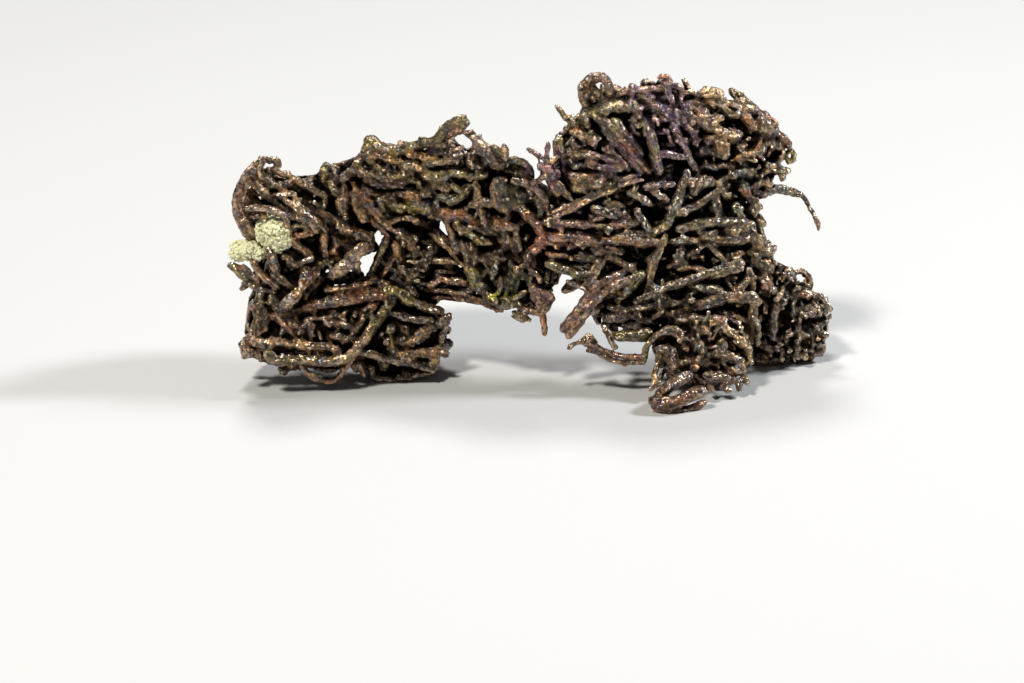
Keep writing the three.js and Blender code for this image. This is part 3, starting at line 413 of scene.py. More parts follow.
RIGHT_RIM = {
    "rods": [
        [0.85, [28.4,50.6,18.6], [30.2,50,18.6], [32.2,49.2,18.8], [34,48,19], [36,47.6,19.4]],
        [0.65, [31.6,50.2,19], [33.4,49.9,19.2], [35.6,49.8,19.4]],
        [0.5, [28.6,54,20.2], [30,54.2,20.4], [31.3,54,20.6], [31.5,53.2,20.6]],
        [0.65, [29.2,52.3,19.8], [30.8,52.3,20], [32.4,52.1,20.2]],
        [0.45, [35,52.2,20.8], [36.2,52.4,21], [37.6,52.1,21.2], [38.6,51.5,21.4], [39,50.7,21.4]],
        [0.7, [36,51.5,20.6], [36.8,50.6,20.6], [38.2,50.4,20.8]],
        [0.7, [39.1,53,22.6], [39.3,52.2,22.4], [39.9,51,22.2]],
        [0.75, [40.4,42.9,20.8], [41.4,43.8,20.8], [42.6,44.5,21]],
        [0.45, [46.6,43.8,24.8], [47.3,44.4,24.9], [47.8,43.6,25], [47.6,42.7,25], [46.9,42.5,24.9],
         [46.5,43.3,24.8]],
        [0.8, [28,33.6,15.2], [29.4,34.3,15.8], [31.2,35,16.6], [33,36.2,17.6], [34.8,37.6,18.4],
         [36.5,38.7,19.3]],
        [0.9, [34.4,36.6,18], [34.6,35,17.8], [34.8,33,17.4]],
        [0.8, [40.6,37.9,20.8], [42,36.9,21.4], [43.4,37.5,22.4], [45,37.8,23.6], [46.6,37.6,25],
         [48,37.3,26.2]],
        [0.4, [48,37.4,26.2], [48.8,37,26.8], [49.8,36,26.8], [50.4,34.8,26.6], [51.2,33.4,26],
         [51.7,32.1,25.6], [52,31,25.4]],
    ],
    "knobby": [
        [0.8, [40,51.7,22.4], [41.4,50.5,22.8], [42.8,49.5,23.2], [44,48.3,23.6], [45,47,24],
         [46.4,45.9,24.4], [46.8,45.2,24.6]],
        [1.15, [39.4,50,21.8], [40.6,48.6,22], [42,47.8,22.4], [43.4,46.6,22.8]],
        [0.95, [42,46.2,22.4], [43.8,45.4,22.8], [45.4,45,23.6]],
        [0.7, [45.9,44.6,24], [45.4,43.4,23.8], [44.6,42,23.2]],
        [1.2, [32.6,53.7,21], [34,54,21.2], [34.9,53.9,21.2]],
        [0.8, [33.2,52.6,20.8], [34.8,52.2,20.8]],
        [0.8, [28.4,51.6,19.4], [30.6,51.2,19.6], [32.8,51.1,19.8]],
        [1.15, [32,44.7,19.6], [33.8,44.4,19.6], [35.4,43.9,19.6]],
        [1.25, [33,46.4,19.4], [34.8,46.6,19.6], [36.2,46.6,20], [37.8,46.6,20.4]],
        [0.85, [32.4,41.5,19.2], [34.4,41.8,19.4], [36.4,42,19.6], [37.8,42,20]],
        [1.15, [38.8,45.2,20.6], [38.8,43.6,20.4], [39.2,42.2,20.2]],
        [1.1, [38.2,41.4,20.2], [39.4,41,20.4], [40.2,40.2,20.6]],
        [0.85, [41.2,40.4,21.2], [42.6,40.9,21.6], [44,41.6,22.2]],
        [0.9, [41,38.8,21.2], [42.6,39.2,21.6], [43.4,38.2,22]],
        [1.1, [38.5,39.2,20.2], [39.3,37.7,20.2], [40,36.4,20.2]],
        [1.05, [40.6,36.2,20.4], [41.1,35,20.2], [40.7,33.8,19.6]],
        [1.2, [30.8,37.4,17.2], [31.6,38.8,17.6], [33.4,39.1,18]],
        [0.9, [38,35,18.8], [38,33.8,18.4], [38.8,32.8,18]],
        [0.9, [28.9,49.4,18.2], [30.4,47.4,18.6], [31.2,45.6,19]],
        [0.65, [44.8,41.6,23.2], [46,41,23.4], [46.9,41,23.6]],
    ],
}

RIGHT_MID = {
    "rods": [
        [0.7, [8.2,31.9,13.6], [10.8,31.9,13.6], [13.2,31.8,13.8], [15.4,31.6,14], [17.6,31.7,14.2],
         [19.4,31.8,14.4], [21,32,14.6]],
        [1.05, [6.8,30,13.6], [8.6,29.8,13.4], [10.6,29.7,13.4], [12.6,29.4,13.6], [14.8,28.8,13.8]],
        [0.8, [15.4,29,13.8], [17.6,29.1,13.6], [19.8,29.1,13.6], [22,28.8,13.7], [24.6,29,14]],
        [0.7, [21.2,34.2,14.6], [21.8,33,14.4], [22.6,31.8,14.2], [23.2,30.8,14.2]],
        [0.85, [22.6,30.1,14.4], [24.4,30.6,14.4], [25.8,31.4,14.6], [26.8,32.8,15], [27.4,34.4,15.6],
         [28.2,36.4,16.2], [28.9,38.4,16.8], [29.7,40.6,17.4]],
        [0.9, [25.8,29.6,14.4], [24.9,27.7,14.2], [24.1,26,14], [23.6,24.2,13.9], [23.2,22.4,13.8],
         [23,20.6,13.6]],
        [0.8, [13.9,34.6,14.2], [15.6,33.8,14.3], [17.4,33.1,14.5]],
        [0.6, [16.2,35.2,14.8], [18.8,35,15]],
        [0.6, [16.8,34.4,14.6], [18.6,33.5,14.8], [19.8,32.8,15]],
        [0.75, [6.2,27,14.2], [8,26.7,14], [10.4,26.5,14]],
        [0.75, [10.8,26.3,13.8], [12.8,26.2,13.8], [14.4,26,13.8]],
        [0.95, [6.3,25.2,13.8], [8,24.6,13.4], [9.8,23.9,13.2], [11.6,23.2,13]],
        [0.65, [15.8,26.5,13.8], [17.6,25.8,13.6], [19.2,25,13.4], [20.8,24,13.2]],
        [0.45, [9.4,22.2,12.6], [10.8,21.7,12.4], [12.4,20.8,12.2]],
        [0.85, [19.2,20.2,12.8], [20,21.4,12.8], [21.2,22.6,12.8], [22,23.4,12.8]],
        [0.75, [21,18.8,12.8], [23,19.6,12.6], [24.8,20.6,12.4], [26.8,21.4,12.2], [29,22.1,12.4],
         [31,22.8,12.8], [33.4,23.6,13.2], [36,24.6,13.8], [38.8,25.5,14.8]],
        [0.65, [33.4,23,13.2], [35.6,23.6,13.4], [38.8,24.4,14]],
        [0.65, [20.4,17.6,12.8], [22.6,17.9,12.7], [25,18.1,12.6], [27.4,18.3,12.6], [30,18.6,12.6]],
        [0.55, [18.4,16.5,13.2], [20.6,16.2,13.1], [22.6,15.6,13], [24.4,15.1,13]],
        [0.85, [15.9,16,12.8], [17.4,16,12.6], [19,16,12.8]],
        [0.9, [17.6,13,10.6], [19.6,12.9,10.4], [21.6,13.1,10.4], [23.2,13.5,10.6]],
        [0.5, [15.6,14.5,10], [16.2,13.2,9.6], [17,11.8,9.4], [17.6,11,9.4]],
        [0.5, [12.4,11.6,9.8], [14.2,11.1,9.6], [16,10.2,9.4], [18.4,9.6,9.2], [20.6,9.4,9.2],
         [22.4,9.4,9]],
        [0.45, [12.8,10.5,9.7], [14.6,10,9.5], [16.4,9,9.3], [18.6,8.5,9.2], [20.8,8.4,9.1],
         [22.4,8.4,9]],
        [0.85, [28.2,31,15], [30.6,31.6,15.2], [33,32.1,15.4], [35.4,32.2,15.8], [37.6,32.2,16.2],
         [39.6,32.1,16.8]],
        [0.85, [32.4,29.8,14.8], [34.8,29.4,15], [37.2,29.1,15.2], [39.8,29.3,15.8]],
        [0.7, [26.6,29,14.8], [28.8,29.1,14.6], [31.4,29.1,14.6]],
        [0.55, [29.4,26.2,14.6], [31,27.4,14.6], [32.6,28.6,14.8]],
        [0.55, [32.8,28.8,14.8], [34.2,27.6,14.6], [35.8,25.8,14.4]],
        [0.6, [28.2,24.3,13.8], [30.4,24.5,13.8], [32.8,23.8,13.6]],
        [0.85, [40.9,17.9,13.4], [40.8,16.2,13], [40.7,14.4,12.8], [40.3,12.7,12.6]],
        [0.5, [37.8,16.3,13], [39,15.6,12.9], [40.4,14.8,12.9]],
        [0.8, [44.2,19.6,17.8], [44.3,17.4,17.8], [44.3,15.2,18], [44.2,12.8,18.2]],
    ],
    "twins": [
        [1.25, [9.2,13.6,12.6], [11.1,16.1,12.3], [13,18.8,12.1], [15,20.7,12.2], [17.3,22.2,12.5],
         [19.4,23.2,12.8]],
        [0.75, [12.9,21.4,12.6], [13.8,23.4,12.7], [14.6,24.8,12.9], [15.3,25.9,13.2]],
    ],
    "flat": [
        [1.0, [28.4,17,12.2], [30.4,17.6,12], [32.4,18.2,12], [34.4,19,12.2], [36.4,19.6,12.4],
         [38.8,19.6,12.7], [40.4,19.4,12.9], [41.6,18.8,13]],
    ],
    "knobby": [
        [1.0, [5.7,32.3,13.8], [7.2,32.2,13.6], [8.4,31.2,13.6]],
        [0.7, [18.6,30.2,14], [20.6,30.2,14], [22.4,30.1,14.1]],
        [0.9, [13.8,28,13.8], [14.4,27.3,13.8], [16.2,27.5,13.9], [18.4,27.3,14.1]],
        [0.9, [17.3,21.4,13.2], [18.3,20.4,13.2], [18,19,13.2]],
        [0.9, [16.9,17.8,13.2], [18.4,17.3,13.2], [19.8,17.4,13.2]],
        [0.9, [14.4,30.1,14.2], [15.4,30.8,14.4]],
        [1.05, [36.4,30.7,15.8], [38,30.6,16], [39.6,30.9,16.4]],
        [1.1, [40.4,31.6,17], [40.6,29.4,16.8], [42,29.1,17], [41.2,28,16.8]],
        [0.9, [40,27.2,16.4], [41.6,26.8,16.6], [43.2,27.2,17], [44.3,26.5,17.4], [44.4,25.5,17.4]],
        [1.05, [41,25.6,16.2], [42.6,25,16.4], [43.7,24.1,16.8]],
        [1.05, [40.2,24,15.6], [40.2,22.6,15.4], [40.6,21.1,15.2]],
        [1.15, [42,22.8,16], [43.1,21.8,16.2], [43.9,20.6,16.6]],
        [0.7, [44.6,22.5,18.6], [45.6,22.7,18.8], [46.6,22.2,19.2]],
        [0.85, [44.4,20.8,18.2], [45.8,20.4,18.8], [46.7,19.6,19.4]],
        [0.9, [30,21.8,13], [31.8,21.3,13], [33.4,20.8,13], [35.2,20.6,13.2]],
        [0.95, [28.9,27.6,14.6], [28.3,26.2,14.4], [29.4,25.1,14.2]],
        [0.7, [36,25.8,15.2], [37.4,26.4,15.4], [38.9,27,15.8]],
        [0.9, [34.4,15.9,10.2], [35.8,15.6,10.2]],
        [0.9, [28.2,15.2,11], [29.8,15.4,10.8], [31.4,15.6,10.6], [33,15.6,10.4]],
        [0.75, [25,16.9,12.4], [26.6,16.5,12.2], [28.2,16.2,11.8], [30,16.7,11.6]],
        [0.75, [37.6,20.8,13.6], [38.8,21.4,13.8], [39.7,22.3,14.4]],
    ],
    "lumps": [
        [0.6, [10,11.2,10]],
        [0.7, [13.2,12.8,10.4]],
    ],
}

FOOT = {
    "rods": [
        [0.55, [22.3,8.5,9], [22.5,9.8,8.8], [22.8,11.2,8.6], [23.8,12.3,8.6], [24.8,13.2,8.8],
         [26,14,9], [27.2,14.2,9.2], [28.2,13.6,9.4]],
        [0.7, [31.3,12.6,8.8], [32.2,13.8,8.8], [33,14.1,9]],
        [0.5, [24.7,8.2,7], [24.3,7.2,6.6], [24,6.2,6.2], [24.4,5.2,5.6], [24.1,4.4,5.2], [23.5,3.9,5]],
        [0.95, [29.9,6.3,4.8], [28.2,5.4,3.6], [26.8,4.5,2.4], [25.6,3.5,1.4], [24.9,2.7,0.6]],
        [1.05, [24.1,1.9,0.2], [25.2,1.6,-0.2], [26.8,1.3,-0.6], [28.4,1.9,-0.4], [29.8,2.6,-0.1],
         [31.2,3.3,0.3], [32.2,3.6,0.6]],
        [0.6, [24,0.9,0.3], [26,0.4,0], [28.2,0.4,0.2], [30,0.8,0.6], [31.8,1.2,1], [32.7,1.7,1.4]],
        [0.7, [38.4,5.2,6], [38.5,4.1,5.8]],
        [0.55, [33.6,4.8,5.4], [34,3.7,5]],
        [0.6, [34.4,14.8,9.6], [35,13.6,9.4], [35.6,12.2,9.2]],
    ],
    "flat": [
        [0.75, [34.2,15.1,9.8], [35.6,14.4,9.6], [37,13.3,9.4], [38.4,12.2,9.2], [39.5,11,9.2],
         [40,9.8,9.2], [39.6,8.6,9]],
    ],
    "knobby": [
        [1.15, [28,13.4,9.8], [29.5,12.8,9.4], [30.3,11.6,9], [29.8,10.4,8.4]],
        [1.05, [31.3,11.8,9.2], [31.8,10.2,8.8], [31.4,8.8,8]],
        [1.1, [25.4,10.7,8.4], [26.6,10.5,8], [27.5,9.4,7.6], [27.2,8,7]],
        [0.85, [24.8,9.6,8.4], [25.4,8.2,7.8]],
        [1.0, [32.6,10.6,8.4], [34.2,10.3,8.2], [35.6,10.1,8]],
        [1.0, [33.6,12.4,9.2], [35,11.7,9], [36.2,11,8.8]],
        [0.95, [28.8,8.3,7], [30.4,8.7,7.2], [32.2,8.5,7.2], [34,7.9,7.2]],
        [1.0, [36,9.3,7.6], [37.6,8.9,7.6], [38.8,8.3,7.8]],
        [1.0, [36.6,7.3,6.8], [38,7,6.8], [39,7.2,7.2]],
        [1.0, [33,6.3,5.6], [34.6,5.9,5.6], [36,5.7,5.8], [37.4,5.4,6]],
        [0.85, [35.8,4.4,5], [36.6,3.8,4.8]],
    ],
    "lumps": [
        [0.85, [39.5,5.5,6.6]],
        [0.85, [27.7,7.3,6.4]],
    ],
}

RIGHT_CLUSTER = {
    "knobby": [
        [1.15, [42.4,9.6,21], [43.6,9.2,21], [45,9.4,21]],
        [1.1, [42.6,11.6,19.8], [44.4,11.2,20], [46.2,11.2,20.4]],
        [0.8, [43,8.6,21.2], [44.8,8.6,21.2]],
        [1.05, [45.2,19,20], [47.2,19.5,20.6], [49,19.7,21.4], [50.4,20.1,22]],
        [1.15, [45.4,17.3,19.8], [48,17.2,20.2], [49.8,17.5,20.8], [51.6,17,21.2]],
        [1.1, [45.2,15.3,19.6], [47.4,15.7,20], [48.8,16.1,20.2]],
        [0.95, [46.4,13.6,20], [48.6,13.7,20.6], [50.2,15,21]],
        [0.95, [47.4,12.2,20.6], [49.4,12.7,21], [51.2,13.9,21.2]],
        [0.95, [46.6,10.5,21], [48.4,10.3,21.6], [49.6,9.6,22]],
        [0.9, [50.8,10.6,21.8], [52,10.2,22], [52.6,11.3,22.2]],
    ],
    "rods": [
        [0.55, [48.9,24,23], [49.9,23.4,23.2], [50.4,22.6,23.2], [50.6,21.5,23], [50.2,20.5,22.6]],
        [0.5, [47.4,23.4,22.8], [48.3,23.8,22.9], [49.2,24,23]],
        [0.65, [47,20.6,21.6], [48.6,20.7,22], [50.2,21.3,22.6]],
        [0.5, [51.2,19.4,21.2], [52.3,19.7,21.2], [53.1,18.9,21], [53.5,18,20.8], [54,17.5,20.6]],
        [0.6, [51.6,14.9,21.2], [52.3,13.6,21.4], [53.2,13.1,21.6]],
        [0.6, [50.4,12.6,21.6], [51.4,11.8,21.8], [51.8,11,22]],
    ],
}

ROOTS = {
    "rods": [
        [0.9, [-31,20.6,17.7], [-33,22,23]],
        [0.9, [-41,22,17], [-38.5,22,22]],
        [0.8, [-15,18,18.2], [-15.5,18.2,23]],
        [0.8, [-12.6,19.5,21.2], [-15,17.5,23]],
        [1.0, [-4,43.8,15.3], [-5.5,40,20]],
        [0.9, [1,38.9,15], [0,37,20]],
        [1.2, [-6.2,42,17.5], [-8.5,40.6,22]],
        [1.0, [5.9,41.7,13.5], [6.6,40.4,13.9], [10,41,18]],
        [1.0, [33.4,53.6,21], [30,51,23.5]],
        [1.0, [40.8,34.4,20.1], [39.5,32,22.5]],
        [1.0, [31.6,38.8,17.6], [33,40.5,22]],
        [0.9, [9,24.2,13.4], [8.6,26,18]],
        [0.9, [17.2,16,12.8], [19.5,17.6,17]],
        [0.9, [20.8,13,10.5], [27,12.2,12]],
        [0.9, [44.3,17.4,18], [45,17,22]],
        [1.0, [16.6,21.9,12.6], [18.5,22,17]],
        [0.9, [14.8,25,13], [15.8,26,17]],
        [0.9, [-43.4,41,19.4], [-41,38.8,20.8], [-37.2,37,23.6]],
        [0.8, [-36,33,18.7], [-36,32,22]],
        [1.0, [-22,44.4,21.7], [-21,41.6,25]],
        [1.0, [-13.4,45.7,18], [-12.4,43,22.5]],
        [0.9, [-21.6,40.7,21], [-22,39.6,24.4]],
        [0.9, [-29.9,40.2,22.8], [-27,38.4,25.4]],
        [0.9, [12.8,52.2,17], [15,49.8,20.4]],
        [0.8, [14,31.9,14], [13,30.6,17]],
        [1.0, [26.4,9.8,7.9], [29.4,10.6,11]],
        [1.1, [30.9,7.6,6.2], [31,10,10.5]],
        [0.9, [-18,6,18], [-18.6,10.4,21.4]],
        [1.0, [41,37.8,21], [38.4,40,23.6]],
    ],
}

FEET = {
    "knobby": [
        [1.6, [-22,14,23], [-23,12.4,28.4], [-23.4,8.4,30.4]],
        [1.6, [34,18.5,21], [35.5,14.4,27.4], [35,9.8,30.4]],
    ],
}

REGIONS = [LEFT_RIM, LEFT_FACE, LEFT_TOP, NECK, RIGHT_TOP, RIGHT_RIM, RIGHT_MID, FOOT, RIGHT_CLUSTER,
           ROOTS, FEET]

# Small growths that sit on the face, as [radius, [x, h], ...]. Each is seated on the copper that
# it covers, unless it has a depth of its own as a third number.
FINE = {
    "rods": [
        [0.9, [-46.3,33.2,21.5], [-44.2,36.4,21.8], [-42.2,40.2,21]],
        [0.8, [-46,38,21.5], [-43.5,36,21.8], [-41.3,34,21]],
        [0.7, [-46,31.5,21], [-43,32.4,21.5], [-41,33.2,21]],
        [0.8, [-30.5,24.5,20], [-28,22.6,20.5], [-25.5,20.5,20]],
        [0.95, [-31,22.4,21.5], [-28.4,22.8,22], [-25.8,23.2,21.5]],
        [1, [4.5,34.5,22], [6.6,36.8,22.5], [8.5,39.5,22]],
        [0.9, [4.3,38.6,23], [6.6,36.4,23], [8.8,35,22.5]],
        [1.1, [-11.5,20,22], [-8.7,21.3,22.5], [-5.8,22,22]],
        [1, [-11,24.8,22], [-8.8,23.4,22.5], [-6,22.6,22]],
        [0.8, [-35,8.4,20], [-31,7.8,20.5], [-27.8,8.2,20]],
        [0.9, [9,20.8,23], [11.5,22.6,23.5], [13.5,25,23]],
        [0.8, [8.8,24.6,23], [10.8,24.8,23.5], [13,24.3,23]],
        [0.6, [-45.5,9.5,19], [-43.9,11,19.5], [-42.3,12.8,19]],
        [0.7, [1.5,17,22], [3.1,18.3,22.5], [4.8,19.6,22]],
        [0.6, [-45.8,21,19], [-44.2,22.5,19.5], [-43,24.2,19]],
        [0.8, [14.5,24.6,24], [17.3,25.2,24.5], [19.5,25.8,24]],
        [0.7, [18.5,13.2,22], [20.4,14.2,22.5], [22.2,15,22]],
        [0.6, [-12.5,45.8,22], [-11,46.8,22.5], [-9.6,47.6,22]],
        [0.35, [-40.1,40], [-38.8,39.6], [-37.6,39.2]], [0.35, [-42.8,42], [-42.9,40.6], [-42.4,39.6]],
        [0.4, [-33,7.3], [-31.4,7.1], [-30,7.2]], [0.4, [-34.2,6.6], [-33.2,6.3], [-32.4,6.2]],
        [0.35, [-43.2,12.9], [-42,13.8], [-41.6,13.9]], [0.45, [-32.8,13.4], [-32.4,12.4]],
        [0.4, [-31.4,19.4], [-30.4,19.9], [-28.6,19.7], [-28,19.4]], [0.4, [-24.6,8.2], [-23.9,7.4]],
        [0.35, [-19.4,17.9], [-18,17.2], [-17.2,16.6]], [0.35, [-16.6,24.3], [-15,24.1], [-14.4,24.2]],
        [0.4, [-12.2,23.9], [-10.6,23.8], [-9.1,23.8]], [0.45, [-21.4,31.6], [-20,30.8], [-18.8,30.2]],
        [0.6, [-28.2,32.9], [-26.6,32.4], [-25.4,31.6]], [0.35, [-10,44.4], [-9,44.7], [-8.3,44.9]],
        [0.55, [-1.6,41.9], [-1.3,40.6], [-0.9,39.4]], [0.45, [-2.6,40.8], [-2.5,39.2]],
        [0.5, [3.6,38.9], [4.8,39.4], [5.6,40]], [0.6, [-10,38.4], [-8.8,37.6]],
        [0.7, [-7.6,37.6], [-7.4,36], [-7.6,34.6]], [0.5, [1.2,28.8], [1.4,27.4]],
        [0.5, [-2.2,29.6], [-1.6,29]], [0.5, [0.2,24.8], [0.8,24], [0.4,23]],
        [0.4, [5,42.4], [4.6,41.8], [4.8,41.2]], [0.35, [8,39], [9.2,37.4], [10.4,36]],
        [0.35, [9.4,50.1], [10.4,50.2]], [0.35, [10.4,49.4], [11.2,50]], [0.35, [25,56.2], [25.8,55.8]],
        [0.45, [22.4,43.2], [23.2,42.2], [23.4,40.8]], [0.4, [16,39], [16.8,38.6]],
        [0.5, [6.3,33.6], [7,34.7]], [0.55, [8,35.6], [9,35.2]], [0.4, [25.6,25.4], [25.2,23.8]],
        [0.5, [11.4,34], [12.2,32.8]], [0.45, [14,32.6], [15.6,32.9]], [0.35, [16.6,29.9], [18.4,29.9]],
        [0.35, [7.4,28], [8.6,27.5], [9.6,27.8]], [0.45, [11.2,25.2], [12,24.4]],
        [0.5, [11.8,23.6], [13.4,23.6]], [0.4, [20.4,24.8], [21.8,25.4], [23.4,25.9]],
        [0.4, [20.4,26.8], [21.4,26.2]], [0.5, [15.4,18.2], [16.2,19.4], [17.2,20.5]],
        [0.6, [14.6,17.6], [13.6,16.8]], [0.4, [17,13.8], [17.6,12.6]],
        [0.4, [24.4,13], [25.8,13.4], [27.2,13.2], [28.2,12.6]], [0.35, [25.6,7], [25.2,5.8], [24.8,5.2]],
        [0.5, [42,16.6], [41.6,15], [41.8,13.6]], [0.5, [23.6,15.8], [24.8,16.6], [25.6,17.2]],
        [0.4, [51,18.6], [52,17.2], [52.2,16.4]], [0.5, [41.2,32.6], [42.4,32.3]],
        [0.6, [33.8,30.3], [35.2,30.8]], [0.6, [33,25.2], [34.8,25.6]], [0.5, [26.2,24.4], [28,25.4]],
        [0.35, [34.8,22.6], [36.2,21.2], [36.6,20.8]], [0.35, [36,22.6], [37.2,21.2]],
        [0.45, [30.4,36.2], [31.8,36.8]], [0.5, [34.6,38.8], [36.2,39.8], [37.8,40]],
        [0.6, [34,48.9], [35.6,49]], [0.5, [29.4,53.2], [31,53.2]], [0.4, [43.2,43], [43.6,44.2]],
        [0.3, [48.2,36.7], [49,36.7]], [0.7, [36,37], [36.8,36.4]],
        [0.4, [26.4,47.2], [27.2,45.6], [28.2,44.4]], [0.6, [24.8,48], [26.4,47.6]],
        [0.45, [25.4,45.8], [26,44.6]], [0.45, [24.8,39.4], [23,39.6]],
        [0.5, [24,36], [25.4,35.2], [26.8,34.6]], [0.7, [17.6,36.8], [18.8,36.2], [19.8,35.6]],
        [0.6, [21,38.6], [20.6,37.6]], [0.45, [13.6,54.8,16.9], [14.4,54.4,16.9], [14.6,53.4,17]],
    ],
    "flat": [
        [1.05, [-30.6,23.2,17.4], [-29.2,24.1,17], [-27.7,25,17.2]],
        [0.95, [-27.8,25.8,17.8], [-26.3,27.1,17.6], [-25.1,28.2,17.8]],
        [1, [-38.6,17.6], [-37.5,19.1], [-36.4,20.4]], [0.85, [-35.6,21.6], [-34.2,23], [-33,24.2]],
        [0.55, [-39.6,36.8], [-38,37.2], [-36.8,37]], [1, [35.6,45.6], [36,43.6]],
        [1.1, [41.6,49.4], [43.2,48.2], [44.2,47]], [0.5, [11.2,11.8], [12.8,12.4], [14.4,12]],
    ],
    "lumps": [
        [0.8, [12.2,53.8,16.6]], [0.75, [12,55.2,16.4]], [0.7, [12.8,56.3,16.3]],
        [0.65, [14.4,56.8,16.3]], [0.6, [15.8,56.3,16.4]], [0.6, [16.5,55,16.5]], [0.6, [13.2,54.8,16.7]],
        [0.55, [13.8,53.4,16.9]], [0.6, [15,52.8,16.9]], [0.4, [-34,38.7]], [0.35, [-33.3,38.5]],
        [0.4, [-43.9,10]], [0.45, [-38.9,10.5]], [0.45, [-37.8,10.3]], [0.35, [-33,9.9]],
        [0.5, [-39,12.8]], [0.5, [-40.2,13.4]], [0.55, [-38.1,17.8]], [0.4, [-10.2,45.8]],
        [0.7, [-1.2,43.3]], [0.6, [-3.8,34.2]], [0.4, [-2.4,33.4]], [0.4, [-3.2,33.2]], [0.8, [2.6,26.2]],
        [0.8, [16.2,31]], [0.7, [10,26.3]], [0.5, [32.2,26.2]], [0.8, [37.3,22.6]], [0.8, [30.5,38.8]],
        [0.7, [45.9,39.9]], [0.45, [44.5,40.4]], [0.7, [13.4,55.4,16.9]], [0.65, [13.9,54.4,17]],
        [0.6, [13.3,53.6,17]], [0.55, [14.4,53.4,17.1]], [0.5, [14.2,56,16.7]], [0.5, [12.1,54.2,16.8]],
        [0.5, [11.9,52.8,16.9]], [0.55, [-9.4,49.7,16.2]], [0.5, [-8.1,49.9,16.1]],
        [0.45, [-9,47.4,16.3]], [0.5, [-9.8,47.1,16.4]], [0.45, [-10.9,49,16.5]],
        [0.55, [-10.7,47.4,16.5]], [0.5, [-8,48.4,15.9]], [0.35, [50.4,34.3]], [0.35, [51.6,32.9]],
        [0.45, [51.8,32.1]],
    ],
}

# The dense heart, as lumps of [radius across, radius deep, radius up, [x, h, y]].
HEART = [
    [8, 8, 9.5, [-36,28,25.5]],
    [6.5, 5.4, 4.6, [-35.5,36,24.8]],
    [7, 6.5, 9, [-38,16,20]],
    [9.5, 8, 8.6, [-22.5,37,28]],
    [9.5, 8.5, 8, [-10.5,38,25.5]],
    [7, 6, 8, [-16.5,27,25]],
    [8, 8, 8.4, [-3,33.5,22.5]],
    [8.6, 6.5, 6.8, [-19,13.5,22]],
    [9, 5.5, 5.6, [-29,14.5,19]],
    [8.4, 6.5, 6.8, [1,25.4,20]],
    [8, 5.5, 4.4, [10,29.5,18]],
    [8.5, 6.5, 9, [15,41.5,20.5]],
    [11, 6, 5.5, [23,49.5,22.5]],
    [8.5, 7, 8.5, [36.5,44.5,25.5]],
    [13, 8, 7.5, [29,30,21]],
    [13, 7.5, 6.6, [25.5,20.5,18.5]],
    [8, 6.5, 6.4, [32.5,11.5,13]],
    [4.8, 6.5, 7.5, [38.6,28,22]],
    [7, 6.5, 7.5, [46.3,15.5,24.5]],
    [4.6, 5.5, 5, [43,21.6,21]],
    [6.5, 4.5, 6.5, [27,40.5,26]],
    [4, 3.5, 3.5, [38.5,17.5,18.5]],
]

# The crusts, as lumps of [radius, [x, h, y]].
CRUST_UPPER = [
    [2.3, [-41.2,31,18.9]],
    [2.1, [-39.6,30.9,19.1]],
    [2.2, [-40.2,29.2,18.9]],
    [1.6, [-38.6,29.4,19.2]],
    [1.3, [-42.2,29.9,19]],
]
CRUST_LOWER = [
    [1.8, [-46.2,27.4,18.6]],
    [1.7, [-44.6,27.5,18.4]],
    [1.2, [-43.2,26.9,18.2]],
]

# The share of a lump's radii that its smooth body fills.
HEART_SHARE = 0.7

# Each place belongs to an owner: the heart, or a stick of the face by its number. The rods deep
# in front take a number of FRONT_OWNERS at random. Crumbs, and rods at the sides and at the back,
# take one of BACK_OWNERS.
HEART_OWNER = 0
FRONT_OWNERS = (600, 800)
BACK_OWNERS = (800, 1000)
OWNER_COUNT = 1000

# Short rods over the heart, as many as this to a square millimetre: those on the front lie deep,
# between the listed ones. A bow and a lean are shares of half a rod's length.
CLOTHING_DENSITY = 0.13
CLOTHING_BOW = 0.2
CLOTHING_LEAN = 0.25
CLOTHING_RIPPLE = 0.16
KNOBBY_SHARE = 0.6
FRONT_SIDE = -0.1
FRONT_LENGTH = (3, 7)
FRONT_DEPTH = (0.72, 0.86)
FRONT_RADIUS = (0.4, 0.75)
BACK_LENGTH = (4, 9)
BACK_DEPTH = (0.84, 0.98)
BACK_RADIUS = (0.55, 1.05)

# Lumps of the heart, by their place in its list, that crumble into small crystals in front. Each
# crystal points out by CRUMB_OUT and sideways by CRUMB_ACROSS, and its foot and its tip are
# shares of its radius.
CRUMBLY = [12, 13, 16, 18, 19]
CRUMB_DENSITY = 0.5
CRUMB_SIDE = 0.35
CRUMB_OUT = (0.2, 1)
CRUMB_ACROSS = (0.3, 1)
CRUMB_LENGTH = (0.8, 3.0)
CRUMB_DEPTH = (0.8, 0.98)
CRUMB_RADIUS = (0.24, 0.62)
CRUMB_FOOT = 0.8
CRUMB_TIP = (0.75, 1.1)

# The depths where a small growth looks for the copper under it, how far it then stands out, and
# its depth where there is none.
SEAT_RANGE = (-4, 34)
SEAT_RAISE = 0.25
SEAT_FALLBACK = 20

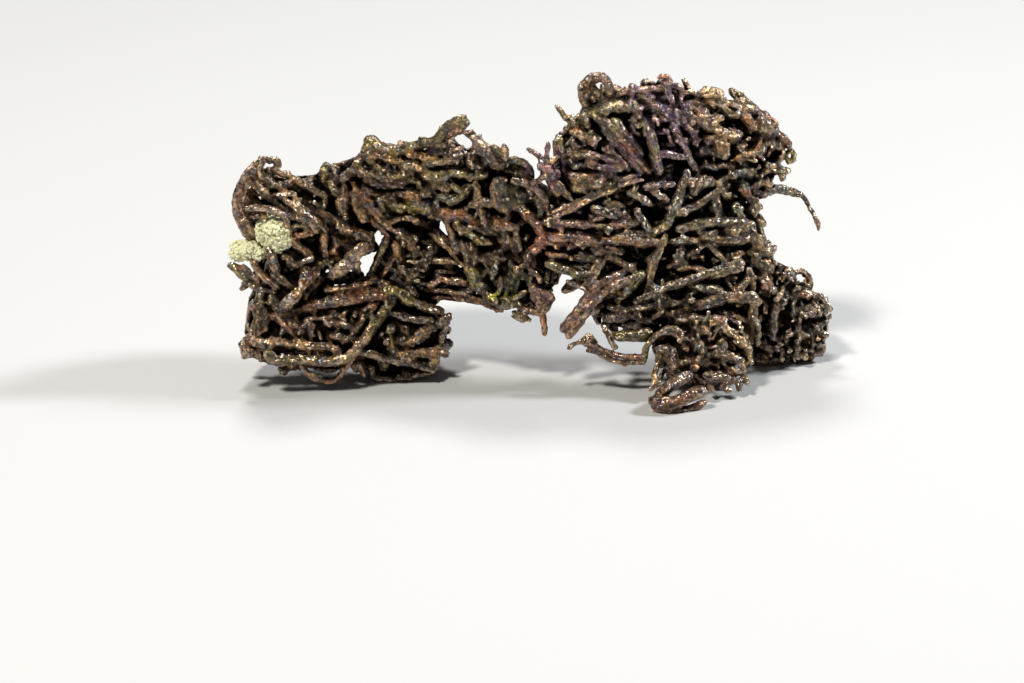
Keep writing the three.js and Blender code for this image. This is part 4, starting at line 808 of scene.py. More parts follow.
# Openings into the heart, as (radius, how far back, [x, h] of one end, [x, h] of the other).
# Those that reach THROUGH let light through. All start about GAP_FRONT behind the foremost foot.
THROUGH = 46
GAP_FRONT = 8
GAPS = [
    (1.5, THROUGH, [-21.9, 29.6], [-24.2, 24.2]),
    (0.8, THROUGH, [-24.5, 23.6], [-29.4, 21.7]),
    (0.9, THROUGH, [-11.4, 32.0], [-11.6, 30.2]),
    (1.3, 21, [23.4, 33.4], [26.0, 33.9]),
    (1.7, 22, [27.4, 41.8], [28.1, 38.8]),
    (1.2, 20, [20.5, 41.4], [20.8, 40.0]),
    (0.9, 23, [36.8, 47.8], [37.2, 44.0]),
    (1.1, 20, [33.0, 27.0], [34.6, 26.8]),
    (1.5, THROUGH, [5.4, 45.5], [6.0, 37.0]),
    (1.4, THROUGH, [-30.6, 46.6], [-27.0, 48.0]),
]

# Where the outline steps back, cut after the sticks at the back are on.
TRIMS = [
    (1.8, THROUGH, [-47.0, 14.6], [-46.4, 19.6]),
    (1.0, THROUGH, [45.2, 26.4], [47.2, 25.6]),
    (1.6, THROUGH, [-29.8, 43.8], [-27.2, 44.8]),
    (1.3, THROUGH, [-36.4, 41.3], [-33.8, 41.5]),
    (0.9, THROUGH, [-8.8, 46.5], [-7.6, 45.6]),
]

# The sticks at the back: how far they are turned and shifted from those at the front, the
# shortest and the thinnest that are taken, and the depths where they look for the copper.
BACK_TURN = 0.6
BACK_SHIFT = 1.6
BACK_SHORTEST = 3.0
BACK_THINNEST = 0.65
BACK_FROM = 14
BACK_LIMIT = 34.6

# About how many triangles all the copper has, and where it is cut into slices, as shares of its
# width.
COPPER_TRIANGLES = 875000
CUT_SHARES = [0, 0.15, 0.29, 0.43, 0.56, 0.695, 0.82, 1]

# How crowded a place is, from 0 to 1, is read off a copy of the metal that is blurred by some
# steps of the grid. A hollow is more crowded than HOLLOW_FROM at HOLLOW_REACH above its surface,
# and an edge is less crowded than EDGE_BELOW on its surface.
# The hollow share sets the painted shade of hollows, and the edge share sets the edges that are lightened
# partly by wear and partly as a painted highlight.
HOLLOW_BLUR = 5
HOLLOW_REACH = 0.9
HOLLOW_FROM = 0.15
HOLLOW_SPAN = 0.25
EDGE_BLUR = 1
EDGE_BELOW = 0.46
EDGE_SPAN = 0.16

# The crusts, as (name, lumps, the CAD node in whose place it stands, seed). Each has a core of
# balls that are a share of its lumps, with CRUST_GRAINS grains for each square of a radius. Its
# bumps and hollows are set as those of the copper are.
CRUSTS = [
    ("upper_crust", CRUST_UPPER, "crust_upper", 31),
    ("lower_crust", CRUST_LOWER, "crust_lower", 32),
]
CRUST_MARGIN = 0.5
CRUST_CORE = 0.82
CRUST_GRAINS = 100
CRUST_GRAIN = (0.12, 0.27)
CRUST_DEPTH = (0.82, 1.06)
CRUST_FILLET = 0.08
CRUST_BAND = 0.6
CRUST_BUMPS = (0.30, 0.10, 0.5)
CRUST_BLUR = 2
CRUST_REACH = 0.2
CRUST_HOLLOW_FROM = 0.35
CRUST_HOLLOW_SPAN = 0.3
CRUST_TINT = (0.83, 0.82, 0.50)

# The stage, in metres. A light is (name, place, size, power, colour).
FLOOR_SIZE = 6.0
FLOOR_COLOUR = (0.50, 0.496, 0.485)
FLOOR_ROUGHNESS = 0.7
CLIP_END = 10
WORLD_COLOUR = (0.9, 0.95, 1.0)
WORLD_STRENGTH = 0.1
VIEW = "Standard"
LIGHT_TARGET = (0, 0, 0.025)
LIGHTS = [
    ("key", (-0.30, -0.40, 0.80), 0.12, 8.0, (1.0, 0.96, 0.9)),
    ("side", (0.60, 0.05, 0.50), 0.12, 6.0, (0.92, 0.96, 1.0)),
    ("back", (-0.10, 0.40, 0.70), 0.16, 4.0, (1.0, 1.0, 1.0)),
]


# ---------------------------------------------------------------- the distance field

# The grids' steps, the room around the copper, the greatest distance that is stored, the fillet
# where two bodies meet and about how far apart the places along a rod are.
COPPER_STEP = 0.25
CRUST_STEP = 0.12
FIELD_MARGIN = 0.6
FAR = 4.0
FILLET = 0.1
PATH_STEP = 0.8

# How far beyond its surface a body is worked out: rods, balls and crystals in steps of the grid,
# lumps and gaps in millimetres.
ROD_ROOM = 3
CRYSTAL_ROOM = 2
ROOM = 1

# A crystal is a cube with its corners cut: its half width as a share of its radius, its fillet,
# its reach in radii and how its corners are cut.
CRYSTAL_SHARE = 0.88
CRYSTAL_FILLET = 0.08
CRYSTAL_REACH = 1.2
CORNER_CUT = 0.64

# Below this sine a rod points along the line of sight.
END_ON = 0.2


class Field:
    """Distances to a surface on a grid, negative inside, with the growth that owns each place
    and the way that each growth lies."""

    def __init__(self, low, high, step):
        self.step = step
        self.low = np.floor(np.asarray(low, float) / step) * step
        count = np.ceil((np.asarray(high, float) - self.low) / step).astype(int) + 1
        self.far = np.full(count, FAR, np.float32)
        self.owner = np.zeros(count, np.int16)
        self.ahead = np.tile(LEVEL, (OWNER_COUNT, 1))

    def window(self, low, high):
        """The slices of the grid between two corners, and their coordinates along each axis."""
        first = np.floor((low - self.low) / self.step).astype(int)
        last = np.ceil((high - self.low) / self.step).astype(int) + 1
        first = np.clip(first, 0, self.far.shape)
        last = np.clip(last, first, self.far.shape)
        slices = tuple(slice(a, b) for a, b in zip(first, last))
        axes = [(self.low[k] + self.step * np.arange(first[k], last[k])).astype(np.float32)
                for k in range(3)]
        return slices, axes

    def around(self, centre, reach):
        """The slices of the grid within reach of a place, and how far they are from it."""
        slices, axes = self.window(centre - reach, centre + reach)
        return slices, offsets(axes, centre)

    def join(self, slices, distance, owner, fillet=FILLET):
        """Adds a body, with a small fillet where it meets what is already there."""
        here = self.far[slices]
        blend = np.clip(0.5 + 0.5 * (here - distance) / fillet, 0, 1)
        self.owner[slices][distance < here] = owner
        self.far[slices] = here + (distance - here) * blend - fillet * blend * (1 - blend)

    def cut(self, slices, distance):
        """Takes a body away."""
        self.far[slices] = np.maximum(self.far[slices], -distance)

    def nearest(self, places):
        """The grid's indices next to places."""
        index = np.rint((places - self.low) / self.step).astype(int)
        return tuple(np.clip(index, 0, np.array(self.far.shape) - 1).T)

    def band(self, width):
        """The grid's indices and places that lie within a width of the surface."""
        index = np.nonzero(np.abs(self.far) < width)
        return index, np.column_stack(index) * self.step + self.low


def offsets(axes, centre):
    """Distances from a place along each axis of a window, which add up over its grid."""
    x, y, z = (axis - middle for axis, middle in zip(axes, centre))
    return x[:, None, None], y[None, :, None], z[None, None, :]


def smooth_path(points):
    """A smooth curve through given points, as places about PATH_STEP apart."""
    points = np.asarray(points, float)
    if len(points) == 1:
        return points
    padded = np.vstack([2 * points[0] - points[1], points, 2 * points[-1] - points[-2]])
    path = []
    for p, a, b, q in zip(padded, padded[1:], padded[2:], padded[3:]):
        pieces = max(1, int(np.ceil(np.linalg.norm(b - a) / PATH_STEP)))
        t = np.arange(pieces)[:, None] / pieces
        path.append(0.5 * (2 * a + (b - p) * t + (2 * p - 5 * a + 4 * b - q) * t ** 2
                           + (3 * a - 3 * b + q - p) * t ** 3))
    return np.vstack(path + [points[-1:]])


def ripple(random, count, amount):
    """Smooth random swelling along a path: one factor for each of its places."""
    knots = max(2, int(np.ceil((count - 1) / RIPPLE_SPACING)) + 1)
    values = random.uniform(-amount, amount, knots)
    return 1 + np.interp(np.linspace(0, knots - 1, count), np.arange(knots), values)


def tube(path, radii, look, random):
    """A function that gives the distance to one span of a rod, on the axes of a window."""
    sides, facet, grooves, depth, wide, thin = look
    path = path.astype(np.float32)
    radii = radii.astype(np.float32)
    steps = np.diff(path, axis=0)
    turn = random.uniform(0, 2 * np.pi)
    angles = [float(turn + 2 * np.pi * k / sides) for k in range(sides)]
    flatten = float(1 / np.cos(np.pi / sides))
    phase = float(random.uniform(0, 2 * np.pi))

    def piece(k, axes):
        along = steps[k]
        length = np.float32(max(np.linalg.norm(along), 1e-6))
        ahead = along / length
        side = np.cross(ahead, LINE_OF_SIGHT)
        side = LEVEL if np.linalg.norm(side) < END_ON else side / np.linalg.norm(side)
        front = np.cross(ahead, side).astype(np.float32)
        side = side.astype(np.float32)
        x, y, z = offsets(axes, path[k])
        s = x * ahead[0] + y * ahead[1] + z * ahead[2]
        t = np.clip(s / length, 0, 1)
        a = (x * side[0] + y * side[1] + z * side[2]) / wide
        b = (x * front[0] + y * front[1] + z * front[2]) / thin
        end = s - t * length
        cross = np.sqrt(a * a + b * b)
        if facet:
            flats = np.max([a * math.cos(turned) + b * math.sin(turned) for turned in angles], axis=0)
            cross = cross + facet * (flats * flatten - cross)
        if grooves:
            cross = cross + depth * np.cos(grooves * np.arctan2(b, a) + phase)
        distance = np.sqrt(cross * cross + end * end)
        radius = radii[k] + t * (radii[k + 1] - radii[k])
        return ((distance - radius) * min(wide, thin)).astype(np.float32)

    return piece


def grow_rod(field, path, radii, look, owner, random):
    """Adds one rod along a path to the field."""
    piece = tube(path, radii, look, random)
    ahead = path[-1] - path[0]
    if np.linalg.norm(ahead) > field.step:
        field.ahead[owner] = ahead / np.linalg.norm(ahead)
    wide, thin = look[-2:]
    reach = radii.max() * max(wide, thin) + ROD_ROOM * field.step
    slices, axes = field.window(path.min(0) - reach, path.max(0) + reach)
    rod = np.full([len(a) for a in axes], FAR, np.float32)
    first = np.array([s.start for s in slices])
    for k in range(len(path) - 1):
        low = np.minimum(path[k], path[k + 1]) - reach
        high = np.maximum(path[k], path[k + 1]) + reach
        near, near_axes = field.window(low, high)
        inner = tuple(slice(s.start - f, s.stop - f) for s, f in zip(near, first))
        rod[inner] = np.minimum(rod[inner], piece(k, near_axes))
    field.join(slices, rod, owner)


def grow_ball(field, centre, radius, fillet=FILLET):
    """Adds a ball of crust to the field. A crust has one owner all over."""
    slices, (x, y, z) = field.around(centre, radius + ROD_ROOM * field.step)
    field.join(slices, np.sqrt(x ** 2 + y ** 2 + z ** 2) - radius, HEART_OWNER, fillet)


def grow_crystal(field, centre, radius, owner, random):
    """Adds a small blunt crystal, a cube with its corners cut, to the field."""
    slices, (x, y, z) = field.around(centre, radius * CRYSTAL_REACH + CRYSTAL_ROOM * field.step)
    first = scattered(random)
    second = crossed(first, random)
    a, b, c = (np.abs(x * e[0] + y * e[1] + z * e[2])
               for e in (first, second, np.cross(first, second)))
    flats = np.maximum(np.maximum(np.maximum(a, b), c), (a + b + c) * CORNER_CUT)
    field.join(slices, (flats - CRYSTAL_SHARE * radius).astype(np.float32), owner, CRYSTAL_FILLET)


# ---------------------------------------------------------------- growing the copper

# How each kind of rod is shaped: sides and how flat they are, grooves and their depth, then its
# width and its thickness as shares of its radius.
LOOKS = {
    "rods": (6, 0.6, 5, 0.07, 1.0, 1.0),
    "knobby": (5, 0.45, 0, 0, 1.0, 1.0),
    "flat": (4, 0.55, 6, 0.08, 1.2, 0.62),
    "twins": (6, 0.5, 4, 0.06, 1.0, 1.0),
    "lumps": (5, 0.6, 0, 0, 1.0, 0.9),
}

# How much thicker a stick grows than it was set, how much its radius swells and over what length,
# and how far it wobbles as a share of its radius. Twins are two thinner rods side by side. A
# stick of one point is drawn out by STUB.
GAIN = {"rods": 1.06, "knobby": 1.0, "flat": 1.05, "twins": 1.1, "lumps": 0.9}
RIPPLE = {"rods": 0.08, "knobby": 0.14, "flat": 0.08, "twins": 0.08, "lumps": 0}
RIPPLE_SPACING = 1.5
WOBBLE = 0.07
TWIN_RADIUS = 0.6
TWIN_SPREAD = 0.52
END_TAPER = 0.82
STUB = 0.01

# Side crystals: how many there are to a square millimetre, their sizes, the largest as a share of
# their rod's radius, and how deep they sit as a share of their size.
NUB_DENSITY = {"rods": 0.12, "knobby": 0.75, "flat": 0.05, "lumps": 0.9}
NUB_SIZE = (0.3, 0.58)
NUB_LIMIT = 0.7
NUB_SINK = (0, 0.4)

# The seeds of the copper: its growth, its colours and its back.
SEED = 20
COLOUR_SEED = SEED + 1
BACK_SEED = SEED + 2


def sticks_of(regions):
    """The kind, the radius and the points of each listed stick."""
    for region in regions:
        for kind, sticks in region.items():
            for radius, *points in sticks:
                yield kind, radius, points


def scattered(random):
    """A random direction."""
    out = random.normal(size=3)
    return out / np.linalg.norm(out)


def crossed(out, random):
    """A random direction square to another."""
    lie = random.normal(size=3)
    lie -= lie @ out * out
    return lie / np.linalg.norm(lie)


def tilt(place):
    """Turns a place back from the board's lean to the part's level."""
    c, s = math.cos(BOARD_FALL), math.sin(BOARD_FALL)
    return np.array([place[0], c * place[1] + s * place[2], c * place[2] - s * place[1]])


def tapered(radii):
    """Radii that thin towards both ends of a rod."""
    radii = radii.copy()
    if len(radii) > 2:
        radii[0] *= END_TAPER
        radii[-1] *= END_TAPER
    return radii


def add_nubs(field, path, radii, kind, owner, random):
    """Small blunt crystals that budded from a rod."""
    spans = np.linalg.norm(np.diff(path, axis=0), axis=1)
    places = np.concatenate([[0], np.cumsum(spans)])
    area = 2 * np.pi * radii.mean() * (places[-1] + 2 * radii.mean())
    for s in random.uniform(0, places[-1], int(area * NUB_DENSITY[kind] + random.random())):
        at = np.array([np.interp(s, places, path[:, k]) for k in range(3)])
        radius = np.interp(s, places, radii)
        size = min(random.uniform(*NUB_SIZE), NUB_LIMIT * radius)
        reach = radius - size * random.uniform(*NUB_SINK)
        grow_crystal(field, at + scattered(random) * reach, size, owner, random)


def grow_budding(field, path, radii, kind, owner, random):
    """Adds a rod with the crystals that budded from it."""
    grow_rod(field, path, radii, LOOKS[kind], owner, random)
    add_nubs(field, path, radii, kind, owner, random)


def add_stick(field, kind, radius, points, owner, random):
    """Adds one listed stick to the field, as the kind of rod that it is."""
    path = smooth_path(sight(points))
    if len(path) > 2:
        path[1:-1] += random.normal(0, WOBBLE * radius, (len(path) - 2, 3))
    radius *= GAIN[kind]
    radii = radius * tapered(ripple(random, len(path), RIPPLE[kind]))
    if kind == "twins":
        side = np.cross(path[-1] - path[0], LINE_OF_SIGHT)
        side *= radius * TWIN_SPREAD / np.linalg.norm(side)
        for shift in (-side, side):
            grow_rod(field, path + shift, radii * TWIN_RADIUS, LOOKS[kind], owner, random)
        return
    if len(path) == 1:
        path = np.vstack([path, path + STUB * LEVEL])
        radii = np.array([radii[0], radii[0]])
    grow_budding(field, path, radii, kind, owner, random)


def add_heart(field):
    """The dense heart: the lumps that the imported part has, as smooth bodies."""
    for wide, deep, tall, centre in HEART:
        slices, (x, y, z) = field.around(sight(centre)[0], max(wide, deep, tall) + ROOM)
        back = y * math.cos(BOARD_FALL) - z * math.sin(BOARD_FALL)
        up = y * math.sin(BOARD_FALL) + z * math.cos(BOARD_FALL)
        share = np.sqrt((x / wide) ** 2 + (back / deep) ** 2 + (up / tall) ** 2)
        field.join(slices, (share - HEART_SHARE) * min(wide, deep, tall), HEART_OWNER)


def measured(lump):
    """A lump's middle, its radii and about how large its surface is."""
    wide, deep, tall, centre = lump
    area = (wide * deep + deep * tall + tall * wide) / 3 * 4 * np.pi
    return sight(centre)[0], np.array([wide, deep, tall]), area


def clothe_lump(field, lump, random):
    """Short rods all over one lump of the heart, so that no smooth body shows."""
    middle, size, area = measured(lump)
    for _ in range(int(area * CLOTHING_DENSITY)):
        out = scattered(random)
        lie = crossed(out, random)
        front = out[1] < FRONT_SIDE
        share = random.uniform(*(FRONT_DEPTH if front else BACK_DEPTH))
        radius = random.uniform(*(FRONT_RADIUS if front else BACK_RADIUS))
        half = random.uniform(*(FRONT_LENGTH if front else BACK_LENGTH)) / 2
        bow = random.uniform(0, CLOTHING_BOW) * half * out
        lean = random.uniform(-CLOTHING_LEAN, CLOTHING_LEAN) * half * out
        ends = [lie * half - bow + lean, np.zeros(3), -lie * half - bow - lean]
        path = smooth_path([tilt(out * size * share + end) + middle for end in ends])
        radii = radius * tapered(ripple(random, len(path), CLOTHING_RIPPLE))
        owner = int(random.integers(*(FRONT_OWNERS if front else BACK_OWNERS)))
        kind = "knobby" if random.random() < KNOBBY_SHARE else "rods"
        grow_budding(field, path, radii, kind, owner, random)


def crumble_lump(field, lump, random):
    """Stubby crystals that point outward all over the front of one lump of the heart."""
    middle, size, area = measured(lump)
    for _ in range(int(area * CRUMB_DENSITY)):
        out = scattered(random)
        if out[1] > CRUMB_SIDE:
            continue
        ahead = out * random.uniform(*CRUMB_OUT) + crossed(out, random) * random.uniform(*CRUMB_ACROSS)
        half = random.uniform(*CRUMB_LENGTH) / 2 * ahead / np.linalg.norm(ahead)
        place = out * size * random.uniform(*CRUMB_DEPTH)
        radius = random.uniform(*CRUMB_RADIUS)
        path = np.array([tilt(place + end) + middle for end in (-half, half)])
        radii = radius * np.array([CRUMB_FOOT, random.uniform(*CRUMB_TIP)])
        owner = int(random.integers(*BACK_OWNERS))
        grow_budding(field, path, radii, "lumps", owner, random)


def copper_depths(field, x, h, depths):
    """Those of the depths at which the line of sight through [x, h] of the board meets copper."""
    ray = sight(np.column_stack([np.full(len(depths), x), np.full(len(depths), h), depths]))
    return depths[field.far[field.nearest(ray)] < 0]


def seat(field, points):
    """Gives points [x, h] of the board a depth, where the line of sight meets the copper."""
    if len(points[0]) > 2:
        return points
    depths = np.arange(*SEAT_RANGE, field.step)
    found = []
    for x, h in points:
        hits = copper_depths(field, x, h, depths)
        found.append(hits[0] if len(hits) else np.nan)
    found = np.array(found)
    found[np.isnan(found)] = SEAT_FALLBACK if np.isnan(found).all() else np.nanmedian(found)
    return [[x, h, y - SEAT_RAISE] for (x, h), y in zip(points, found)]


def turn_to_back(field, points, random):
    """Turns and shifts a front stick a little and lays it on the back; None where nothing is."""
    flat = np.array([point[:2] for point in points], float)
    turn = random.uniform(-BACK_TURN, BACK_TURN)
    shift = random.uniform(-BACK_SHIFT, BACK_SHIFT, 2)
    c, s = math.cos(turn), math.sin(turn)
    middle = flat.mean(0)
    flat = (flat - middle) @ np.array([[c, s], [-s, c]]) + middle + shift
    spans = np.linalg.norm(flat - flat[0], axis=1)
    if spans[-1] < BACK_SHORTEST:
        return None
    depths = np.arange(BACK_FROM, BACK_LIMIT, field.step)
    found = []
    for x, h in flat:
        hits = copper_depths(field, x, h, depths)
        if not len(hits):
            return None
        found.append(hits[-1])
    found = np.polyval(np.polyfit(spans, found, 1), spans)
    return np.column_stack([flat, np.minimum(found, BACK_LIMIT)])


def open_gaps(field, gaps):
    """Openings through the growth, each along a line of the board."""
    for radius, back, start, end in gaps:
        corners = sight([[*p, y] for p in (start, end) for y in (GAP_FRONT, back)])
        low, high = corners.min(0) - radius - ROOM, corners.max(0) + radius + ROOM
        slices, axes = field.window(low, high)
        places = np.stack(np.meshgrid(*axes, indexing="ij"), -1).reshape(-1, 3)
        x, h = board(places)
        along = np.array(end, float) - start
        t = np.clip(((x - start[0]) * along[0] + (h - start[1]) * along[1]) / (along @ along), 0, 1)
        far = np.hypot(x - start[0] - t * along[0], h - start[1] - t * along[1]) - radius
        far = np.maximum(far, places[:, 1] + ORIGIN[1] - back)
        field.cut(slices, far.reshape([len(a) for a in axes]).astype(np.float32))


def grow_front(field, random):
    """The heart in its clothing, and the sticks of the face over it; returns the last owner."""
    add_heart(field)
    for number, lump in enumerate(HEART):
        clothe_lump(field, lump, random)
        if number in CRUMBLY:
            crumble_lump(field, lump, random)
    open_gaps(field, GAPS)
    owner = HEART_OWNER
    for kind, radius, points in sticks_of(REGIONS):
        owner += 1
        add_stick(field, kind, radius, points, owner, random)
    return owner


def grow_back(field, random):
    """The sticks of the face once more, turned to the back."""
    for kind, radius, points in sticks_of(REGIONS):
        path = turn_to_back(field, points, random)
        if radius > BACK_THINNEST and path is not None:
            owner = int(random.integers(*BACK_OWNERS))
            add_stick(field, kind, radius, path, owner, random)


def grow_copper():
    """The whole copper body as a distance field, flat where it stands on the floor."""
    low, high = (np.array(corner) / MM for corner in CAD_BOX)
    field = Field(low - FIELD_MARGIN, high + FIELD_MARGIN, COPPER_STEP)
    random = np.random.default_rng(SEED)
    owner = grow_front(field, random)
    grow_back(field, np.random.default_rng(BACK_SEED))
    open_gaps(field, TRIMS)
    for kind, radius, points in sticks_of([FINE]):
        owner += 1
        add_stick(field, kind, radius, seat(field, points), owner, random)
    roughen(field, random)
    root_loose(field, random)
    up = field.low[2] + field.step * np.arange(field.far.shape[2], dtype=np.float32)
    field.far = np.maximum(field.far, -up[None, None, :])
    return field


# ---------------------------------------------------------------- surface and meshes

# The lumps and hollows of the surface: smooth noise as (size, height), then rounded bumps as
# (size, height, how far from a bump's middle the surface keeps its place, as a share of the
# size). They change a band of the field on both sides of the surface. The noise repeats itself
# after NOISE_CELLS sizes.
NOISE_CELLS = 48
ROUGHNESS = [(1.8, 0.06), (0.8, 0.10)]
BUMPS = (0.62, 0.2, 0.55)
BAND = 0.9

# Slices reach SEAM past their cut, where their surface has sunk SEAM_DIVE below the next one's.
SEAM = 0.75
SEAM_DIVE = 0.45

# The fewest vertices of a loose body that is kept, and the roots that tie loose bits: how far
# they may reach, from about how many places of a bit, how deep they end and their radius.
SMALLEST = 60
ROOT_SEARCH = 5
ROOT_SAMPLES = 40
ROOT_DIVE = 0.3
ROOT_RADIUS = 0.42


def lattice_noise(places, scale, random):
    """Smooth noise from -1 to 1 at places, with features about a scale apart."""
    table = random.uniform(-1, 1, (NOISE_CELLS,) * 3).astype(np.float32)
    p = (places / scale).astype(np.float32)
    cell = np.floor(p)
    t = p - cell
    t = t * t * (3 - 2 * t)
    cell = cell.astype(np.int32)
    total = np.zeros(len(p), np.float32)
    for corner in np.ndindex(2, 2, 2):
        weight = np.prod(np.where(corner, t, 1 - t), axis=1)
        i, j, k = ((cell + corner) % NOISE_CELLS).T
        total += weight * table[i, j, k]
    return total


def cell_distance(places, scale, random):
    """The distance to the nearest of a loose scatter of points, as a share of their spacing."""
    table = random.uniform(0, 1, (NOISE_CELLS,) * 3 + (3,)).astype(np.float32)
    p = (places / scale).astype(np.float32)
    cell = np.floor(p).astype(np.int32)
    best = np.full(len(p), np.inf, np.float32)
    for step in np.ndindex(3, 3, 3):
        there = cell + np.array(step, np.int32) - 1
        i, j, k = (there % NOISE_CELLS).T
        away = there + table[i, j, k] - p
        best = np.minimum(best, (away * away).sum(1))
    return np.sqrt(best)


def bumps(places, look, random):
    """How high rounded bumps lift the surface at places."""
    scale, height, level = look
    return height * (level - cell_distance(places, scale, random))


def roughen(field, random):
    """Gives the surface the small lumps and hollows of grown metal."""
    index, places = field.band(BAND)
    rough = np.zeros(len(places), np.float32)
    for scale, height in ROUGHNESS:
        rough += height * lattice_noise(places, scale, random)
    rough += bumps(places, BUMPS, random)
    field.far[index] -= rough


def blurred(values, radius):
    """Box blur along each axis, twice over."""
    width = 2 * radius + 1
    for _ in range(2):
        for axis in range(3):
            edges = [(radius + 1, radius) if k == axis else (0, 0) for k in range(3)]
            sums = np.cumsum(np.pad(values, edges, mode="edge"), axis=axis, dtype=np.float32)
            high = np.take(sums, range(width, sums.shape[axis]), axis=axis)
            low = np.take(sums, range(0, sums.shape[axis] - width), axis=axis)
            values = (high - low) / width
    return values


def corners_of(vertices, faces):
    """The places of the three corners of each triangle."""
    return (vertices[faces[:, k]] for k in range(3))


def labelled(vertices, faces):
    """A number for each vertex of a mesh, the same all over each loose body."""
    label = np.arange(len(vertices))
    edges = np.vstack([faces[:, :2], faces[:, 1:3], faces[:, [2, 0]]])
    while True:
        low = np.minimum(label[edges[:, 0]], label[edges[:, 1]])
        new = label.copy()
        np.minimum.at(new, label[edges[:, 0]], low)
        np.minimum.at(new, label[edges[:, 1]], low)
        new = new[new]
        if (new == label).all():
            return label
        label = new


def keep_large(vertices, faces):
    """Drops the specks and the closed hollows of a mesh."""
    label = labelled(vertices, faces)
    a, b, c = corners_of(vertices, faces)
    volume = np.bincount(label[faces[:, 0]], np.einsum("ij,ij->i", a, np.cross(b, c)), len(label))
    wanted = (np.bincount(label, minlength=len(label))[label] >= SMALLEST) & (volume[label] > 0)
    faces = faces[wanted[faces[:, 0]]]
    order = np.cumsum(wanted) - 1
    return vertices[wanted], order[faces]


def polygons(values, low, step):
    """The surface of a block of the field, as vertices in millimetres and triangles, without its
    specks and closed hollows."""
    grid = openvdb.FloatGrid()
    grid.copyFromArray(values)
    points, triangles, quads = grid.convertToPolygons(isovalue=0.0, adaptivity=0.0)
    faces = np.vstack([triangles, quads[:, [0, 1, 2]], quads[:, [0, 2, 3]]]).astype(np.int64)
    vertices = np.asarray(points, float) * step + low
    a, b, c = corners_of(vertices, faces)
    if np.einsum("ij,ij->", a, np.cross(b, c)) < 0:
        faces = faces[:, ::-1]
    return keep_large(vertices, faces)


def root_loose(field, random):
    """Ties each loose bit of copper to the main body with a short root."""
    vertices, faces = polygons(field.far, field.low, field.step)
    label = labelled(vertices, faces)
    count = np.bincount(label)
    main = vertices[label == count.argmax()]
    for k in np.nonzero(count)[0]:
        if k == count.argmax():
            continue
        body = vertices[label == k]
        near = main[((main > body.min(0) - ROOT_SEARCH) & (main < body.max(0) + ROOT_SEARCH)).all(1)]
        if not len(near):
            continue
        some = body[::max(1, len(body) // ROOT_SAMPLES)]
        away = np.linalg.norm(some[:, None] - near[None], axis=2)
        i, j = np.unravel_index(away.argmin(), away.shape)
        ahead = (near[j] - some[i]) / max(away[i, j], 1e-3)
        path = np.array([some[i] - ROOT_DIVE * ahead, near[j] + ROOT_DIVE * ahead])
        owner = int(field.owner[field.nearest(some[i:i + 1])][0])
        grow_rod(field, path, np.full(2, ROOT_RADIUS), LOOKS["lumps"], owner, random)


def slices_of(field):
    """Cuts the field from left to right into closed blocks that meet inside each other."""
    low = field.low[0]
    high = low + field.step * (field.far.shape[0] - 1)
    cuts = low + (high - low) * np.array(CUT_SHARES)
    for first, last in zip(cuts, cuts[1:]):
        start = max(0, int(round((first - SEAM - low) / field.step)))
        stop = min(field.far.shape[0], int(round((last + SEAM - low) / field.step)) + 1)
        x = low + field.step * np.arange(start, stop)
        dive = np.maximum(np.maximum(first - x, x - last), 0) / SEAM * SEAM_DIVE
        if start > 0:
            dive[0] = FAR
        if stop < field.far.shape[0]:
            dive[-1] = FAR
        block = field.far[start:stop] + dive[:, None, None].astype(np.float32)
        yield block, np.array([x[0], field.low[1], field.low[2]])


def fill_mesh(mesh, vertices, faces):
    """Gives a mesh its vertices and triangles."""
    mesh.vertices.add(len(vertices))
    mesh.vertices.foreach_set("co", vertices.astype(np.float32).ravel())
    mesh.loops.add(len(faces) * 3)
    mesh.loops.foreach_set("vertex_index", faces.astype(np.int32).ravel())
    mesh.polygons.add(len(faces))
    mesh.polygons.foreach_set("loop_start", np.arange(0, 3 * len(faces), 3, dtype=np.int32))
    mesh.polygons.foreach_set("use_smooth", np.ones(len(faces), bool))
    mesh.update(calc_edges=True)


def thinned(vertices, faces, share):
    """The same surface with a share of its triangles, fewest where it is smooth."""
    mesh = bpy.data.meshes.new("raw")
    fill_mesh(mesh, vertices, faces)
    piece = add_object("raw", mesh)
    piece.modifiers.new("thin", "DECIMATE").ratio = share
    seen = piece.evaluated_get(bpy.context.evaluated_depsgraph_get()).data
    seen.calc_loop_triangles()
    places = np.empty(len(seen.vertices) * 3, np.float32)
    seen.vertices.foreach_get("co", places)
    corners = np.empty(len(seen.loop_triangles) * 3, np.int32)
    seen.loop_triangles.foreach_get("vertices", corners)
    bpy.data.objects.remove(piece)
    bpy.data.meshes.remove(mesh)
    return places.reshape(-1, 3).astype(float), corners.reshape(-1, 3).astype(np.int64)


# ---------------------------------------------------------------- colours of the growth

BROWN = (0.200, 0.108, 0.050)
OLIVE = (0.190, 0.150, 0.030)
UMBER = (0.085, 0.048, 0.028)
TAN = (0.400, 0.240, 0.120)
ROSE = (0.280, 0.140, 0.105)
RUST = (0.270, 0.105, 0.040)

# Each owner takes one of these tones, at its own brightness. The rods deep between the
# listed ones are darker, as painted shade in the depths.
OWNER_TONES = [BROWN, BROWN, BROWN, UMBER, UMBER, TAN, TAN, OLIVE, ROSE, RUST, RUST]
OWNER_LIGHT = (0.38, 1.5)
DEEP_PAINTED_SHADE = 0.3

# Stains, and the painted highlights and painted shade listed among them, lie on all that is
# less than MARK_DEPTH behind the part's origin. Their edges wander by WANDER of their reach and
# are broken into patches, and they fade out from a distance of MARK_FADE - 1 to one of
# MARK_FADE, squared and as a share of their reach.
MARK_DEPTH = 6
MARK_FADE = 1.6
WANDER = np.array([0.25, -0.25])
WANDER_SIZE = 3.0
PATCH_SIZE = 1.1
PATCH_MEAN = 0.72
